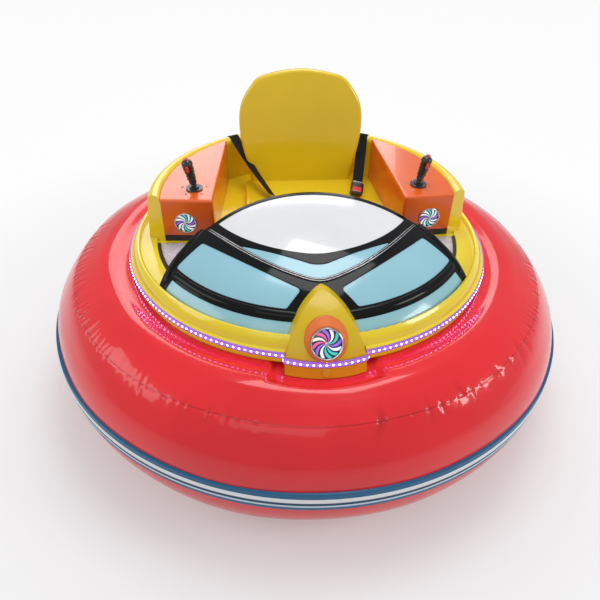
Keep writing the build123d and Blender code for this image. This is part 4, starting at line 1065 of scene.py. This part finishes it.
class CAR_OT_buckle(bpy.types.Operator):
    """Model the buckle with its red release button and steel tongue"""

    bl_idname = "car.buckle"
    bl_label = "Buckle"

    def execute(self, context):
        middle = Vector((0.218, 0.204, 0.652))
        along = Vector((-0.2, -0.92, -0.30)).normalized()
        normal = along.cross(Vector((1, 0.25, 0))).normalized()
        normal = -normal if normal.z < 0 else normal
        case = Build()
        rows = [(0.92, -0.011), (1.0, -0.009), (1.0, 0.009), (0.90, 0.0115), (0.0, 0.012)]
        case.add(*self.pad(frame_of(middle, normal, -along), 0.026, 0.031, rows))
        body = case.piece("buckle_case", node_material("belt_buckle"), sharp=40)
        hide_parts("belt_buckle")
        matrix = frame_of(middle + normal * 0.0112 + along * 0.012, normal, -along)
        build = Build()
        rows = [(1.0, 0.0), (1.0, 0.0016), (0.90, 0.0026), (0.55, 0.0022), (0.0, 0.0020)]
        build.add(*self.pad(matrix, 0.019, 0.013, rows))
        piece = build.piece("buckle_button", node_material("stick_buttons_left"), sharp=40)
        steel = metal_finish("buckle tongue", (0.7, 0.7, 0.72), 0.25).material
        tongue = Build()
        matrix = frame_of(middle - along * 0.034, normal, -along)
        rows = [(1.0, -0.0012), (1.0, 0.0012), (0.92, 0.0016), (0.0, 0.0016)]
        tongue.add(*self.pad(matrix, 0.019, 0.010, rows))
        tongue.piece("buckle_tongue", steel, sharp=40)
        return {"FINISHED"}

    @staticmethod
    def pad(matrix, half_x, half_y, rows, corners=6):
        """A rounded rectangle raised in steps of (share, height)."""
        points, outline = [], []
        radius = min(half_x, half_y) * 0.45
        for cx, cy, start in ((1, 1, 0), (-1, 1, 90), (-1, -1, 180), (1, -1, 270)):
            for a in np.radians(np.linspace(start, start + 90, corners)):
                outline.append((cx * (half_x - radius) + radius * math.cos(a),
                                cy * (half_y - radius) + radius * math.sin(a)))
        for share, height in rows:
            points += [(x * max(share, 0.02), y * max(share, 0.02), height) for x, y in outline]
        return placed(matrix, points), skin(len(rows), len(outline), capped=True)


def console_height(y):
    """Height of the consoles' sloping tops."""
    return CONSOLE_TOP + (y - CONSOLE_FRONT) * math.tan(CONSOLE_SLOPE)


def screw(matrix, radius):
    """A pan-head screw with a hexagon socket, its head's foot at the matrix."""
    profile = [(radius, 0.0), (radius * 0.98, radius * 0.30), (radius * 0.75, radius * 0.58),
               (radius * 0.48, radius * 0.66)]
    points, faces = turned(profile, 18)
    start = len(points)
    reach = radius * 0.42
    hexagon = [(reach * math.cos(a), reach * math.sin(a)) for a in np.radians(60 * np.arange(6))]
    for height in (radius * 0.66, radius * 0.20):
        points += [(x, y, height) for x, y in hexagon]
    for k in range(6):
        n = (k + 1) % 6
        faces.append((start + k, start + n, start + 6 + n, start + 6 + k))
        a = (3 * k * 4 + 3, (3 * k + 1) * 4 + 3, (3 * k + 2) * 4 + 3, ((3 * k + 3) % 18) * 4 + 3)
        faces.append((start + k, a[0], a[1], a[2], a[3], start + n))
    faces.append(tuple(start + 6 + k for k in range(6)))
    return placed(matrix, points), faces


class CAR_OT_screws(bpy.types.Operator):
    """Screw down the stick flanges and bolt on the running gear"""

    bl_idname = "car.screws"
    bl_label = "Screws and bolts"

    def execute(self, context):
        zinc = node_material("caster_plates")
        outer_circle, flange_circle, flange_top = 0.047, 0.0245, 0.0053
        upper = Build()
        normal = Vector((0, -math.sin(CONSOLE_SLOPE), math.cos(CONSOLE_SLOPE)))
        for side in (-1, 1):
            for number in range(5):
                angle = math.radians(18 + 72 * number)
                x = side * (STICK_PLACE[0] + outer_circle * math.cos(angle))
                y = STICK_PLACE[1] + outer_circle * math.sin(angle)
                upper.add(*screw(frame_of((x, y, console_height(y)), normal, (0, 1, 0)), 0.0042))
            for number in range(4):
                angle = math.radians(45 + 90 * number)
                x = side * STICK_PLACE[0] + flange_circle * math.cos(angle)
                y = STICK_PLACE[1] + flange_circle * math.sin(angle)
                z = console_height(y) + flange_top
                upper.add(*screw(frame_of((x, y, z), normal, (0, 1, 0)), 0.0026))
        upper.piece("console_screws", zinc, sharp=40)
        lower = Build()
        for node in ("caster_plates", "motor_brackets"):
            _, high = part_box(node)
            for sx in (-1, 1):
                for sy in (-1, 1):
                    if node == "caster_plates":
                        places = [(sx * 0.042, end + sy * 0.033, high[2] - 0.004) for end in (-0.33, 0.33)]
                    else:
                        places = [(sx * (high[0] - 0.022), sy * 0.042, high[2] - 0.008)]
                    for place in places:
                        lower.add(*screw(frame_of(place, (0, 0, -1), (0, 1, 0)), 0.006))
        lower.piece("chassis_bolts", zinc, sharp=40)
        for side, name in ((-1, "left"), (1, "right")):
            bolts = Build()
            hub_face, bolt_circle, wheel_height = 0.3525, 0.018, 0.1
            for number in range(5):
                angle = math.radians(72 * number)
                place = (side * hub_face, bolt_circle * math.sin(angle),
                         wheel_height + bolt_circle * math.cos(angle))
                bolts.add(*screw(frame_of(place, (side, 0, 0)), 0.0045))
            piece = bolts.piece("hub_bolts_" + name, zinc, body="drive_wheel_" + name, sharp=40)
        return {"FINISHED"}


class CAR_OT_grips(bpy.types.Operator):
    """Add the finger ridges and the rubber gaiter of each stick"""

    bl_idname = "car.grips"
    bl_label = "Stick grips"

    def execute(self, context):
        for side, name in ((-1, "left"), (1, "right")):
            matrix = self.stance(side)
            gaiter = Build()
            rows = []
            for step in range(9):
                share = step / 8
                fold = 0.0014 if step % 2 else 0.0
                rows.append((0.0112 - 0.0035 * share + fold, 0.0215 + 0.0040 * share))
            gaiter.turn(matrix, rows, 28)
            for height, radius in ((0.044, 0.0158), (0.056, 0.0163), (0.068, 0.0172), (0.080, 0.0186)):
                rib = [(radius + 0.0002, height - 0.0022), (radius + 0.0011, height - 0.0010),
                       (radius + 0.0011, height + 0.0010), (radius + 0.0002, height + 0.0022)]
                gaiter.turn(matrix, rib, 40)
            rubber = node_material("stick_grip_" + name)
            gaiter.piece("grip_ribs_" + name, rubber, body="stick_" + name)
        return {"FINISHED"}

    @staticmethod
    def stance(side):
        """Matrix of a stick's own upright axis, with its foot on the console."""
        foot = Matrix.Translation((side * STICK_PLACE[0], STICK_PLACE[1], console_height(STICK_PLACE[1])))
        tip = Matrix.Rotation(CONSOLE_SLOPE, 4, "X")
        lift = Matrix.Translation((0, 0, 0.012))
        splay = Matrix.Rotation(math.radians(11) * side, 4, "Y")
        return foot @ tip @ lift @ splay @ lift.inverted()


def pale_ground(name, tone):
    """A pale matt ground that the camera and mirror rays see as nearly white."""
    made = Finish(name, tone, 0.9)
    made.mottle(made.noise(0.8, 2.0), 0.3, 0.7, toned(tone, 0.97), tone)
    output = made.nodes["Material Output"]
    path = made.nodes.new("ShaderNodeLightPath")
    mirrored_share = made.calc("MULTIPLY", path.outputs["Is Glossy Ray"], 0.5)
    seen = made.calc("ADD", path.outputs["Is Camera Ray"], mirrored_share, clamp=True)
    seen = made.calc("ADD", seen, path.outputs["Is Transmission Ray"], clamp=True)
    shine = made.node("ShaderNodeEmission", Color=(1.0, 1.0, 1.0, 1.0), Strength=1.0)
    blend = made.nodes.new("ShaderNodeMixShader")
    # Less of it near the car, so that the shadow stays
    spread = made.span(made.radius(), 0.85, 2.3, 0.24, 0.95)
    made.links.new(made.calc("MULTIPLY", seen, spread), blend.inputs[0])
    made.links.new(made.shader.outputs[0], blend.inputs[1])
    made.links.new(shine.outputs[0], blend.inputs[2])
    made.links.new(blend.outputs[0], output.inputs["Surface"])
    return made.material


class CarStage(bpy.types.PropertyGroup):
    """Lamps of the studio."""

    top_power: power_setting("Top lamp", 74.0)
    back_power: power_setting("Back lamp", 46.0)
    front_power: power_setting("Front lamp", 15.0)
    left_power: power_setting("Left lamp", 30.0)
    right_power: power_setting("Right lamp", 34.0)
    sky: glow_setting("Sky", "Strength of the even light", 0.46)


class CAR_OT_stage(bpy.types.Operator):
    """Set the floor, the soft lamps and the camera at the photograph's angle"""

    bl_idname = "car.stage"
    bl_label = "Stage"

    def execute(self, context):
        settings = context.scene.car_stage
        scene = context.scene
        scene.view_settings.view_transform = "Standard"
        self.sky(scene, settings.sky)
        half = 12.0
        corners = [(-half, -half, 0), (half, -half, 0), (half, half, 0), (-half, half, 0)]
        ground = pale_ground("studio ground", (0.84, 0.84, 0.85))
        floor = new_piece("studio_floor", corners, [(0, 1, 2, 3)], ground, body=None)
        powers = {"top": settings.top_power, "back": settings.back_power, "front": settings.front_power,
                  "left": settings.left_power, "right": settings.right_power}
        for name, place, target, size in LAMPS:
            self.lamp("lamp_" + name, place, target, size, powers[name])
        self.camera(scene)
        return {"FINISHED"}

    @staticmethod
    def sky(scene, strength):
        world = bpy.data.worlds.new("Studio")
        scene.world = world
        world.use_nodes = True
        nodes, links = world.node_tree.nodes, world.node_tree.links
        backdrop = nodes["Background"]
        backdrop.inputs["Color"].default_value = (0.96, 0.97, 0.98, 1.0)
        path = nodes.new("ShaderNodeLightPath")
        mixed = nodes.new("ShaderNodeMix")
        mixed.inputs[2].default_value = strength
        mixed.inputs[3].default_value = 1.0
        links.new(path.outputs["Is Camera Ray"], mixed.inputs[0])
        links.new(mixed.outputs[0], backdrop.inputs["Strength"])

    @staticmethod
    def lamp(name, place, target, size, power):
        """A soft rectangular lamp that faces a point."""
        light = bpy.data.lights.new(name, "AREA")
        light.shape = "RECTANGLE"
        light.size, light.size_y = size
        light.energy = power
        lamp = bpy.data.objects.new(name, light)
        lamp.location = place
        lamp.rotation_euler = (Vector(target) - Vector(place)).to_track_quat("-Z", "Y").to_euler()
        bpy.context.scene.collection.objects.link(lamp)

    @staticmethod
    def camera(scene):
        camera_data = bpy.data.cameras.new("photo_camera")
        camera_data.sensor_width = 36.0
        camera_data.lens = CAMERA_LENS
        camera = bpy.data.objects.new("photo_camera", camera_data)
        scene.collection.objects.link(camera)
        right = Vector(CAMERA_RIGHT).normalized()
        forward = Vector(CAMERA_FORWARD).normalized()
        turn = Matrix((right, right.cross(forward), -forward)).transposed()
        camera.matrix_world = Matrix.Translation(CAMERA_PLACE) @ turn.to_4x4()
        scene.camera = camera


OPERATORS = (CAR_OT_finishes, CAR_OT_ring, CAR_OT_band, CAR_OT_nose, CAR_OT_lights, CAR_OT_lamps,
             CAR_OT_bonnet, CAR_OT_belts, CAR_OT_buckle, CAR_OT_screws, CAR_OT_grips, CAR_OT_stage)
SETTINGS = (("car_finishes", CarFinishes), ("car_ring", CarRing), ("car_lights", CarLights),
            ("car_belts", CarBelts), ("car_stage", CarStage))


class CAR_PT_panel(bpy.types.Panel):
    """Lists the car's operators and settings"""

    bl_label = "Bumper car"
    bl_idname = "CAR_PT_panel"
    bl_space_type = "VIEW_3D"
    bl_region_type = "UI"
    bl_category = "Bumper car"

    def draw(self, context):
        for operator in OPERATORS:
            self.layout.operator(operator.bl_idname)
        for name, group in SETTINGS:
            box = self.layout.box()
            for setting in group.__annotations__:
                box.prop(getattr(context.scene, name), setting)


def register():
    for name, group in SETTINGS:
        bpy.utils.register_class(group)
        setattr(bpy.types.Scene, name, bpy.props.PointerProperty(type=group))
    for made in (*OPERATORS, CAR_PT_panel):
        bpy.utils.register_class(made)


def unregister():
    for made in reversed((*OPERATORS, CAR_PT_panel)):
        bpy.utils.unregister_class(made)
    for name, group in reversed(SETTINGS):
        delattr(bpy.types.Scene, name)
        bpy.utils.unregister_class(group)


def main():
    register()
    bpy.ops.car.finishes()
    bpy.ops.car.ring()
    bpy.ops.car.band()
    bpy.ops.car.nose()
    bpy.ops.car.lights()
    bpy.ops.car.lamps()
    bpy.ops.car.bonnet()
    bpy.ops.car.belts()
    bpy.ops.car.buckle()
    bpy.ops.car.screws()
    bpy.ops.car.grips()
    bpy.ops.car.stage()


if __name__ == "__main__":
    main()
